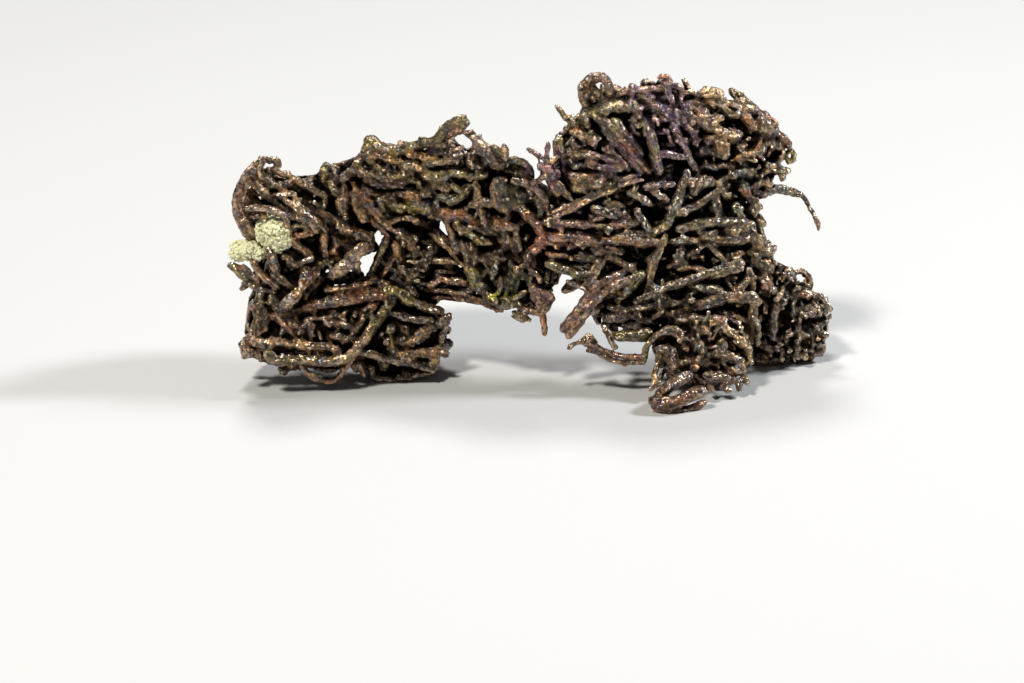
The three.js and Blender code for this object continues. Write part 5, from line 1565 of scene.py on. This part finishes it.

# Tarnish and stains, with a few painted highlights and a broad painted shade among them, as
# [x, h, reach across, reach up, colour, strength] on the board.
STAINS_AND_PAINTED_LIGHT = [
    [23, 47, 9.5, 9, (0.205, 0.120, 0.255), 0.9],
    [27, 39, 5, 6, (0.150, 0.090, 0.170), 0.75],
    [5.4, 42, 3.2, 4.6, (0.290, 0.130, 0.230), 0.95],
    [14, 33, 8, 3.4, (0.190, 0.090, 0.115), 0.7],
    [9, 29.5, 5, 2.2, (0.250, 0.095, 0.085), 0.75],
    [4.6, 28.4, 2.4, 1.8, (0.520, 0.170, 0.115), 0.9],
    [-1, 21.4, 4.6, 4.0, (0.060, 0.085, 0.034), 0.85],
    [-0.5, 37.2, 3.2, 3.4, (0.135, 0.145, 0.090), 0.85],
    [-4.2, 43.4, 2.4, 2.8, (0.340, 0.250, 0.210), 0.85],
    [-0.6, 44.4, 1.3, 1.3, (0.520, 0.350, 0.170), 0.9],
    [-19, 42.5, 7, 3, (0.300, 0.215, 0.070), 0.65],
    [-12.6, 40.6, 2.2, 2.2, (0.240, 0.230, 0.120), 0.8],
    [-31, 18.6, 2.4, 0.9, (0.260, 0.330, 0.380), 0.85],
    # Painted highlight: the pale stub lit up nearly white.
    [-37.8, 18.8, 1.3, 1.5, (1.000, 0.900, 0.640), 1.0],
    [-25.5, 12, 4, 5.5, (0.290, 0.165, 0.095), 1.0],
    [-34, 6.6, 8, 1.5, (0.330, 0.175, 0.110), 1.0],
    [-36.4, 20.4, 1.6, 1.4, (0.520, 0.360, 0.160), 0.8],
    # Painted highlight on the pale flats.
    [-28.6, 24.6, 2.6, 1.3, (0.660, 0.500, 0.400), 0.95],
    [-26.2, 27.0, 1.6, 1.4, (0.330, 0.220, 0.160), 0.7],
    [-14, 35.8, 2.6, 1.4, (0.150, 0.220, 0.270), 0.7],
    [40, 40.6, 2.2, 2.4, (0.160, 0.260, 0.250), 0.75],
    [36, 37, 4, 4, (0.105, 0.125, 0.085), 0.55],
    [35.6, 38.4, 1.6, 1.6, (0.620, 0.500, 0.400), 0.8],
    [16, 50, 5, 4, (0.270, 0.235, 0.060), 0.7],
    [15, 37.4, 8, 2.0, (0.290, 0.230, 0.050), 0.5],
    [36.5, 18.0, 4.2, 1.4, (0.500, 0.360, 0.240), 0.7],
    # Painted shade: a broad darkening over the right side.
    [28, 28, 15, 9, (0.104, 0.102, 0.058), 0.62],
    # The foot's tint, darkened further as painted shade.
    [33, 8, 8, 6, (0.225, 0.135, 0.105), 0.75],
    [43.6, 9.4, 2.6, 2.4, (0.680, 0.450, 0.300), 0.85],
    [41, 14, 3, 4, (0.400, 0.290, 0.140), 0.6],
    [48, 15, 7, 9, (0.088, 0.060, 0.052), 0.9],
    [33.9, 53.6, 2.0, 1.4, (0.620, 0.400, 0.220), 0.8],
    [38, 50, 8, 6, (0.330, 0.200, 0.085), 0.5],
    [-34, 14, 12, 8, (0.230, 0.135, 0.095), 0.5],
    [-38, 33, 8, 8, (0.330, 0.215, 0.120), 0.5],
    [-7, 32, 8, 8, (0.220, 0.130, 0.072), 0.4],
]
# The bright specks along the foot of the green cluster.
SPECKS = [-1.9, 19.7, 2.3, 0.55, (0.520, 0.560, 0.060), 1.0]


def painted(places, owners, random):
    """The colour of each vertex: its owner's tone, with painted shade on the heart and the deep rods,
    then the stains, painted highlights and painted shade that lie over it.
    """
    tones = np.array(OWNER_TONES)[random.integers(0, len(OWNER_TONES), OWNER_COUNT)]
    tones = tones * random.uniform(*OWNER_LIGHT, (OWNER_COUNT, 1))
    # Painted shade: the heart takes the dark umber tone and the rods deep in front are darkened further,
    # for the shade between the rods.
    tones[HEART_OWNER] = UMBER
    tones[slice(*FRONT_OWNERS)] *= DEEP_PAINTED_SHADE
    colours = tones[owners]
    x, h = board(places)
    wander = lattice_noise(places, WANDER_SIZE, random)[:, None] * WANDER
    patch = np.clip(PATCH_MEAN + lattice_noise(places, PATCH_SIZE, random), 0, 1)
    front = places[:, 1] < MARK_DEPTH
    for sx, sh, across, up, colour, strength in STAINS_AND_PAINTED_LIGHT + [SPECKS]:
        away = ((x - sx) / across + wander[:, 0]) ** 2 + ((h - sh) / up + wander[:, 1]) ** 2
        weight = (strength * np.clip(MARK_FADE - away, 0, 1) * front * patch)[:, None]
        colours = colours * (1 - weight) + np.array(colour) * weight
    return colours


# ---------------------------------------------------------------- materials

# Cloudy noise, as (scale, detail, roughness, where it starts, where it is full).
MOTTLE = (520, 6, 0.65, 0.42, 0.58)
PITS = (2600, 4, 0.65, 0.36, 0.50)
WEAR_AND_HIGHLIGHT_CLOUDS = (1300, 4, 0.65, 0.42, 0.56)
SUGAR = (900, 4, 0.6, 0.4, 0.6)

# The darker and the lighter face of the mottled tone, as shares of it.
TONE_LOW = (0.48, 0.47, 0.64)
TONE_HIGH = (1.88, 1.70, 1.20)

# Flecks of tarnish and painted glints over the copper, as (scale, where they start, where they are
# full, share, colour), and the detail and roughness of their noise.
FLECK_AND_GLINT_NOISE = (5, 0.65)
FLECKS_AND_GLINTS = [
    (620, 0.55, 0.63, 0.42, (0.260, 0.220, 0.045)),
    (1000, 0.59, 0.65, 0.50, (0.400, 0.170, 0.070)),
    (700, 0.57, 0.65, 0.55, (0.180, 0.115, 0.240)),
    # Painted glints: bluish ones, then yellow ones.
    (1250, 0.58, 0.63, 0.75, (0.300, 0.420, 0.540)),
    (1500, 0.61, 0.66, 0.80, (0.700, 0.640, 0.160)),
]

# Streaks along each rod: the noise, how far it is drawn out, then where its dark side fades out,
# where its pale side comes in and how much the pale side covers.
STREAK_NOISE = (1500, 4, 0.6)
STREAK_DRAWN = 0.86
STREAK_DARK = (0.40, 0.56)
STREAK_PALE = (0.58, 0.68)
STREAK_PALE_SHARE = 0.55

# The colours of dirt, of pale streaks, of worn edges that also carry a painted highlight, and of
# the painted shade in hollows, with some of the dark oxide that they hold, and how much they cover.
DIRT = (0.010, 0.007, 0.005)
STREAK_DIRT_SHARE = 0.75
PIT_DIRT_SHARE = 0.6
PALE = (0.66, 0.50, 0.34)
# Edges are lightened partly as wear and partly as a painted highlight on the crests.
WEAR_AND_HIGHLIGHT_COLOUR = (0.98, 0.74, 0.50)
WEAR_AND_HIGHLIGHT_MIX = 0.65
WEAR_AND_HIGHLIGHT_SHARE = 0.85
# Painted shade: hollows turn nearly black, partly from the dark oxide that they hold but mostly from
# shade painted into the colour.
PAINTED_SHADE = (0.006, 0.004, 0.003)
PAINTED_SHADE_SHARE = 0.96
PAINTED_SHADE_SPAN = (0.05, 0.7)

# How the copper shines: small crystal faces, each with its own angle and its own roughness.
# Hollows are rougher and lose their shine, and worn edges are more metallic.
GRAIN_SCALE = 2300
GRAIN_TILT = 0.6
GRAIN_SPAN = (0.25, 0.75)
GRAIN_ROUGHNESS = (0.16, 0.42)
HOLLOW_ROUGHNESS = 0.4
BARE_UP_TO = 0.6
METALLIC = 0.6
WORN_METALLIC = 0.3
SPECULAR = 0.75
COAT = 0.5
COAT_ROUGHNESS = 0.10
STREAK_BUMP = (0.6, 0.0004)

# The crust: its grains, the pale clouds, the seams between its grains and the painted shade in its
# hollows.
SUGAR_SCALE = 4200
SUGAR_PALE = (0.97, 0.94, 0.70)
SUGAR_PALE_SHARE = 0.6
SUGAR_SEAM = (0.62, 0.59, 0.34)
SUGAR_SEAM_SPAN = (0.2, 0.7, 0, 0.3)
SUGAR_PAINTED_SHADE = (0.60, 0.52, 0.26)
SUGAR_PAINTED_SHADE_SHARE = 0.35
SUGAR_ROUGHNESS = 0.62
SUGAR_GLOW = 0.12
SUGAR_GLOW_COLOURS = (0.9, 0.85, 0.5)
SUGAR_GLOW_DEPTH = 0.0006
SUGAR_BUMP = (0.7, 0.00018)

# The colour sockets of a Mix node: its share, its two inputs and its output.
MIX_SHARE, MIX_FIRST, MIX_SECOND, MIX_OUT = 0, 6, 7, 2


class Nodes:
    """Short calls for building one material's node tree."""

    def __init__(self, name):
        self.material = bpy.data.materials.new(name)
        self.material.use_nodes = True
        self.tree = self.material.node_tree
        self.shader = self.tree.nodes["Principled BSDF"]

    def add(self, kind, **settings):
        node = self.tree.nodes.new(kind)
        for key, value in settings.items():
            setattr(node, key, value)
        return node

    def feed(self, socket, value):
        """Gives a socket a number, a colour, a direction or what another node puts out."""
        if isinstance(value, (int, float)):
            socket.default_value = value
        elif isinstance(value, tuple):
            socket.default_value = (*value, 1)[:len(socket.default_value)]
        else:
            self.tree.links.new(value, socket)

    def shade(self, name, value):
        """Feeds a socket of the shader."""
        self.feed(self.shader.inputs[name], value)

    def attribute(self, name, output):
        return self.add("ShaderNodeAttribute", attribute_name=name).outputs[output]

    def place(self):
        return self.add("ShaderNodeTexCoord").outputs["Object"]

    def noise(self, place, scale, detail, rough):
        node = self.add("ShaderNodeTexNoise")
        self.feed(node.inputs["Scale"], scale)
        self.feed(node.inputs["Detail"], detail)
        self.feed(node.inputs["Roughness"], rough)
        self.feed(node.inputs["Vector"], place)
        return node.outputs["Fac"]

    def clouds(self, scale, detail, rough, low, high, share=1.0):
        """Patches of noise, from nothing to a share."""
        return self.spread(self.noise(self.place(), scale, detail, rough), low, high, 0.0, share)

    def streaks(self):
        """Noise that is drawn out along each rod."""
        place = self.place()
        ahead = self.attribute("ahead", "Vector")
        along = self.vector("DOT_PRODUCT", place, ahead).outputs["Value"]
        back = self.scaled(ahead, self.maths("MULTIPLY", along, -STREAK_DRAWN))
        return self.noise(self.vector("ADD", place, back).outputs[0], *STREAK_NOISE)

    def cells(self, scale):
        node = self.add("ShaderNodeTexVoronoi")
        self.feed(node.inputs["Scale"], scale)
        self.feed(node.inputs["Vector"], self.place())
        return node

    def spread(self, value, low, high, to_low=0.0, to_high=1.0):
        node = self.add("ShaderNodeMapRange")
        for name, number in (("From Min", low), ("From Max", high), ("To Min", to_low),
                             ("To Max", to_high), ("Value", value)):
            self.feed(node.inputs[name], number)
        return node.outputs["Result"]

    def maths(self, operation, first, second):
        node = self.add("ShaderNodeMath", operation=operation)
        self.feed(node.inputs[0], first)
        self.feed(node.inputs[1], second)
        return node.outputs[0]

    def vector(self, operation, first, second):
        node = self.add("ShaderNodeVectorMath", operation=operation)
        self.feed(node.inputs[0], first)
        self.feed(node.inputs[1], second)
        return node

    def scaled(self, direction, amount):
        node = self.add("ShaderNodeVectorMath", operation="SCALE")
        self.feed(node.inputs[0], direction)
        self.feed(node.inputs["Scale"], amount)
        return node.outputs[0]

    def mix(self, share, first, second, blend="MIX"):
        node = self.add("ShaderNodeMix", data_type="RGBA", blend_type=blend)
        self.feed(node.inputs[MIX_SHARE], share)
        self.feed(node.inputs[MIX_FIRST], first)
        self.feed(node.inputs[MIX_SECOND], second)
        return node.outputs[MIX_OUT]

    def tilted(self, facets, amount):
        """The surface's normal, turned a little its own way in each cell, as crystal faces."""
        centred = self.vector("SUBTRACT", facets, (0.5, 0.5, 0.5)).outputs[0]
        normal = self.add("ShaderNodeNewGeometry").outputs["Normal"]
        total = self.vector("ADD", normal, self.scaled(centred, amount)).outputs[0]
        unit = self.add("ShaderNodeVectorMath", operation="NORMALIZE")
        self.feed(unit.inputs[0], total)
        return unit.outputs[0]

    def bump(self, height, strength, distance):
        node = self.add("ShaderNodeBump")
        self.feed(node.inputs["Strength"], strength)
        self.feed(node.inputs["Distance"], distance)
        self.feed(node.inputs["Height"], height)
        return node


def copper_material():
    """Tarnished copper: a tone for each rod, stains, painted shade in the hollows, edges lightened partly
    by wear and partly as a painted highlight, flecks with painted glints among them, and glints.
    """
    nodes = Nodes("tarnished_copper")
    tint = nodes.attribute("tint", "Color")
    hollow = nodes.attribute("hollow", "Fac")
    edge = nodes.attribute("edge", "Fac")
    grains = nodes.cells(GRAIN_SCALE).outputs["Color"]
    streaks = nodes.streaks()
    bare = nodes.spread(hollow, 0, BARE_UP_TO, 1, 0)
    wear_and_highlight = nodes.maths("MULTIPLY", nodes.maths("MULTIPLY", edge, nodes.clouds(*WEAR_AND_HIGHLIGHT_CLOUDS)), bare)

    colour = nodes.mix(nodes.clouds(*MOTTLE), nodes.mix(1.0, tint, TONE_LOW, "MULTIPLY"),
                       nodes.mix(1.0, tint, TONE_HIGH, "MULTIPLY"))
    # Flecks of tarnish, and the painted glints among them.
    for scale, low, high, share, fleck_and_glint in FLECKS_AND_GLINTS:
        colour = nodes.mix(nodes.clouds(scale, *FLECK_AND_GLINT_NOISE, low, high, share), colour, fleck_and_glint)
    colour = nodes.mix(nodes.spread(streaks, *STREAK_DARK), nodes.mix(STREAK_DIRT_SHARE, colour, DIRT),
                       colour)
    colour = nodes.mix(nodes.spread(streaks, *STREAK_PALE, 0, STREAK_PALE_SHARE), colour, PALE)
    colour = nodes.mix(nodes.clouds(*PITS), nodes.mix(PIT_DIRT_SHARE, colour, DIRT), colour)
    # Edges lightened partly by wear and partly as a painted highlight.
    colour = nodes.mix(nodes.maths("MULTIPLY", wear_and_highlight, WEAR_AND_HIGHLIGHT_SHARE), colour,
                       nodes.mix(WEAR_AND_HIGHLIGHT_MIX, colour, WEAR_AND_HIGHLIGHT_COLOUR))
    # Painted shade: the colour turns nearly black in hollows.
    colour = nodes.mix(nodes.spread(hollow, *PAINTED_SHADE_SPAN), colour, nodes.mix(PAINTED_SHADE_SHARE, colour, PAINTED_SHADE))
    nodes.shade("Base Color", colour)

    shine = nodes.spread(grains, *GRAIN_SPAN, *GRAIN_ROUGHNESS)
    dull = nodes.maths("MULTIPLY", hollow, HOLLOW_ROUGHNESS)
    nodes.shade("Roughness", nodes.maths("ADD", shine, dull))
    nodes.shade("Metallic", nodes.maths("ADD", nodes.maths("MULTIPLY", wear_and_highlight, WORN_METALLIC), METALLIC))
    nodes.shade("Specular IOR Level", nodes.maths("MULTIPLY", bare, SPECULAR))
    nodes.shade("Coat Weight", nodes.maths("MULTIPLY", bare, COAT))
    nodes.shade("Coat Roughness", COAT_ROUGHNESS)

    bump = nodes.bump(streaks, *STREAK_BUMP)
    nodes.feed(bump.inputs["Normal"], nodes.tilted(grains, GRAIN_TILT))
    nodes.shade("Normal", bump.outputs["Normal"])
    nodes.shade("Coat Normal", bump.outputs["Normal"])
    return nodes.material


def crust_material():
    """A pale, sugary crust of small clear grains, with painted shade in its hollows."""
    nodes = Nodes("mineral_crust")
    tint = nodes.attribute("tint", "Color")
    hollow = nodes.attribute("hollow", "Fac")
    grains = nodes.cells(SUGAR_SCALE).outputs["Distance"]
    colour = nodes.mix(nodes.clouds(*SUGAR), tint, nodes.mix(SUGAR_PALE_SHARE, tint, SUGAR_PALE))
    colour = nodes.mix(nodes.spread(grains, *SUGAR_SEAM_SPAN), colour, SUGAR_SEAM)
    # Painted shade in the crust's hollows.
    colour = nodes.mix(hollow, colour, nodes.mix(SUGAR_PAINTED_SHADE_SHARE, colour, SUGAR_PAINTED_SHADE))
    nodes.shade("Base Color", colour)
    nodes.shade("Roughness", SUGAR_ROUGHNESS)
    nodes.shade("Subsurface Weight", SUGAR_GLOW)
    nodes.shade("Subsurface Radius", SUGAR_GLOW_COLOURS)
    nodes.shade("Subsurface Scale", SUGAR_GLOW_DEPTH)
    nodes.shade("Normal", nodes.bump(grains, *SUGAR_BUMP).outputs["Normal"])
    return nodes.material


def floor_material():
    """A plain, pale, matt floor."""
    nodes = Nodes("pale_floor")
    nodes.shade("Base Color", FLOOR_COLOUR)
    nodes.shade("Roughness", FLOOR_ROUGHNESS)
    return nodes.material


# ---------------------------------------------------------------- the pieces

# How each attribute of a mesh is stored, and what its values are called there.
ATTRIBUTES = {
    "tint": ("FLOAT_COLOR", "color"),
    "ahead": ("FLOAT_VECTOR", "vector"),
    "hollow": ("FLOAT", "value"),
    "edge": ("FLOAT", "value"),
}


def add_object(name, data):
    """Places a new object in the scene."""
    thing = bpy.data.objects.new(name, data)
    bpy.context.scene.collection.objects.link(thing)
    return thing


def set_attribute(mesh, name, values):
    """Stores one number, direction or colour for each vertex of a mesh."""
    kind, key = ATTRIBUTES[name]
    if name == "tint":
        values = np.column_stack([values, np.ones(len(values))])
    layer = mesh.attributes.new(name, kind, "POINT")
    layer.data.foreach_set(key, values.astype(np.float32).ravel())


def make_piece(name, vertices, faces, attributes, material, node):
    """A mesh object in place of a CAD node, riding with the part."""
    mesh = bpy.data.meshes.new(name)
    fill_mesh(mesh, vertices * MM, faces)
    for key, values in attributes.items():
        set_attribute(mesh, key, values)
    mesh.materials.append(material)
    piece = add_object(name, mesh)
    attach(piece, "root")
    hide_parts(node)


def vertex_normals(vertices, faces):
    """Outward directions at the vertices of a mesh."""
    a, b, c = corners_of(vertices, faces)
    across = np.cross(b - a, c - a)
    total = np.zeros_like(vertices)
    for k in range(3):
        for axis in range(3):
            total[:, axis] += np.bincount(faces[:, k], across[:, axis], len(vertices))
    return total / np.maximum(np.linalg.norm(total, axis=1), 1e-9)[:, None]


def crowding(solid, field, places):
    """The share of the room around places that the blurred metal fills."""
    return solid[field.nearest(places)]


def dress_copper():
    """Meshes the copper field in slices, and colours their vertices."""
    field = grow_copper()
    material = copper_material()
    metal = (field.far < 0).astype(np.float32)
    wide = blurred(metal, HOLLOW_BLUR)
    near = blurred(metal, EDGE_BLUR)
    shells = [polygons(block, corner, field.step) for block, corner in slices_of(field)]
    share = min(1, COPPER_TRIANGLES / sum(len(faces) for _, faces in shells))
    for number, (vertices, faces) in enumerate(shells, 1):
        vertices, faces = thinned(vertices, faces, share)
        # The painted shade for hollows and the painted highlight for edges are read off the blurred metal
        # here.
        above = vertices + HOLLOW_REACH * vertex_normals(vertices, faces)
        hollow = np.clip((crowding(wide, field, above) - HOLLOW_FROM) / HOLLOW_SPAN, 0, 1)
        edge = np.clip((EDGE_BELOW - crowding(near, field, vertices)) / EDGE_SPAN, 0, 1)
        owners = field.owner[field.nearest(vertices)].astype(int)
        tint = painted(vertices, owners, np.random.default_rng(COLOUR_SEED))
        attributes = {"tint": tint, "hollow": hollow, "edge": edge, "ahead": field.ahead[owners]}
        make_piece(f"copper_{number}", vertices, faces, attributes, material,
                   "native_copper")


def dress_crust(name, lumps, node, seed):
    """A crust of small grains over a few lumps."""
    random = np.random.default_rng(seed)
    low, high = (np.array(corner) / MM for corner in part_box(node))
    field = Field(low - CRUST_MARGIN, high + CRUST_MARGIN, CRUST_STEP)
    centres = sight([centre for _, centre in lumps])
    radii = np.array([radius for radius, _ in lumps])
    squares = radii ** 2
    for centre, radius in zip(centres, radii):
        grow_ball(field, centre, radius * CRUST_CORE)
    for _ in range(int(CRUST_GRAINS * squares.sum())):
        k = random.choice(len(radii), p=squares / squares.sum())
        at = centres[k] + scattered(random) * radii[k] * random.uniform(*CRUST_DEPTH)
        grow_ball(field, at, random.uniform(*CRUST_GRAIN), CRUST_FILLET)
    index, places = field.band(CRUST_BAND)
    field.far[index] -= bumps(places, CRUST_BUMPS, random)
    vertices, faces = polygons(field.far, field.low, field.step)
    metal = blurred((field.far < 0).astype(np.float32), CRUST_BLUR)
    # The hollow share sets the painted shade of the crust.
    above = vertices + CRUST_REACH * vertex_normals(vertices, faces)
    hollow = np.clip((crowding(metal, field, above) - CRUST_HOLLOW_FROM) / CRUST_HOLLOW_SPAN, 0, 1)
    tint = np.tile(CRUST_TINT, (len(vertices), 1))
    make_piece(name, vertices, faces, {"tint": tint, "hollow": hollow}, crust_material(),
               node)


# ---------------------------------------------------------------- camera, floor and light


def add_camera():
    """The camera, at the eye of the board."""
    data = bpy.data.cameras.new("camera")
    data.sensor_width = SENSOR
    data.lens = BOARD_DISTANCE * FRAME_SCALE / FRAME_WIDTH * SENSOR
    data.clip_end = CLIP_END
    camera = add_object("camera", data)
    turned = Matrix(np.column_stack([BOARD_X, BOARD_H, -LINE_OF_SIGHT]).tolist()).to_4x4()
    camera.matrix_world = Matrix.Translation(Vector((EYE - ORIGIN) * MM)) @ turned
    bpy.context.scene.camera = camera


def add_floor():
    """The floor that the part stands on."""
    mesh = bpy.data.meshes.new("floor")
    half = FLOOR_SIZE / 2
    corners = [(-half, -half, 0), (half, -half, 0), (half, half, 0), (-half, half, 0)]
    mesh.from_pydata(corners, [], [(0, 1, 2, 3)])
    mesh.materials.append(floor_material())
    floor = add_object("floor", mesh)


def add_light(name, place, size, power, colour):
    """A square soft light that faces the middle of the part."""
    data = bpy.data.lights.new(name, "AREA")
    data.size = size
    data.energy = power
    data.color = colour
    light = add_object(name, data)
    light.location = place
    light.rotation_euler = (Vector(LIGHT_TARGET) - Vector(place)).to_track_quat("-Z", "Y").to_euler()


def add_world():
    """A faint, even light from all around."""
    world = bpy.data.worlds.new("studio")
    world.use_nodes = True
    background = world.node_tree.nodes["Background"]
    background.inputs["Color"].default_value = (*WORLD_COLOUR, 1)
    background.inputs["Strength"].default_value = WORLD_STRENGTH
    bpy.context.scene.world = world


bpy.context.scene.view_settings.view_transform = VIEW
add_camera()
add_floor()
add_world()
for light in LIGHTS:
    add_light(*light)
dress_copper()
for crust in CRUSTS:
    dress_crust(*crust)
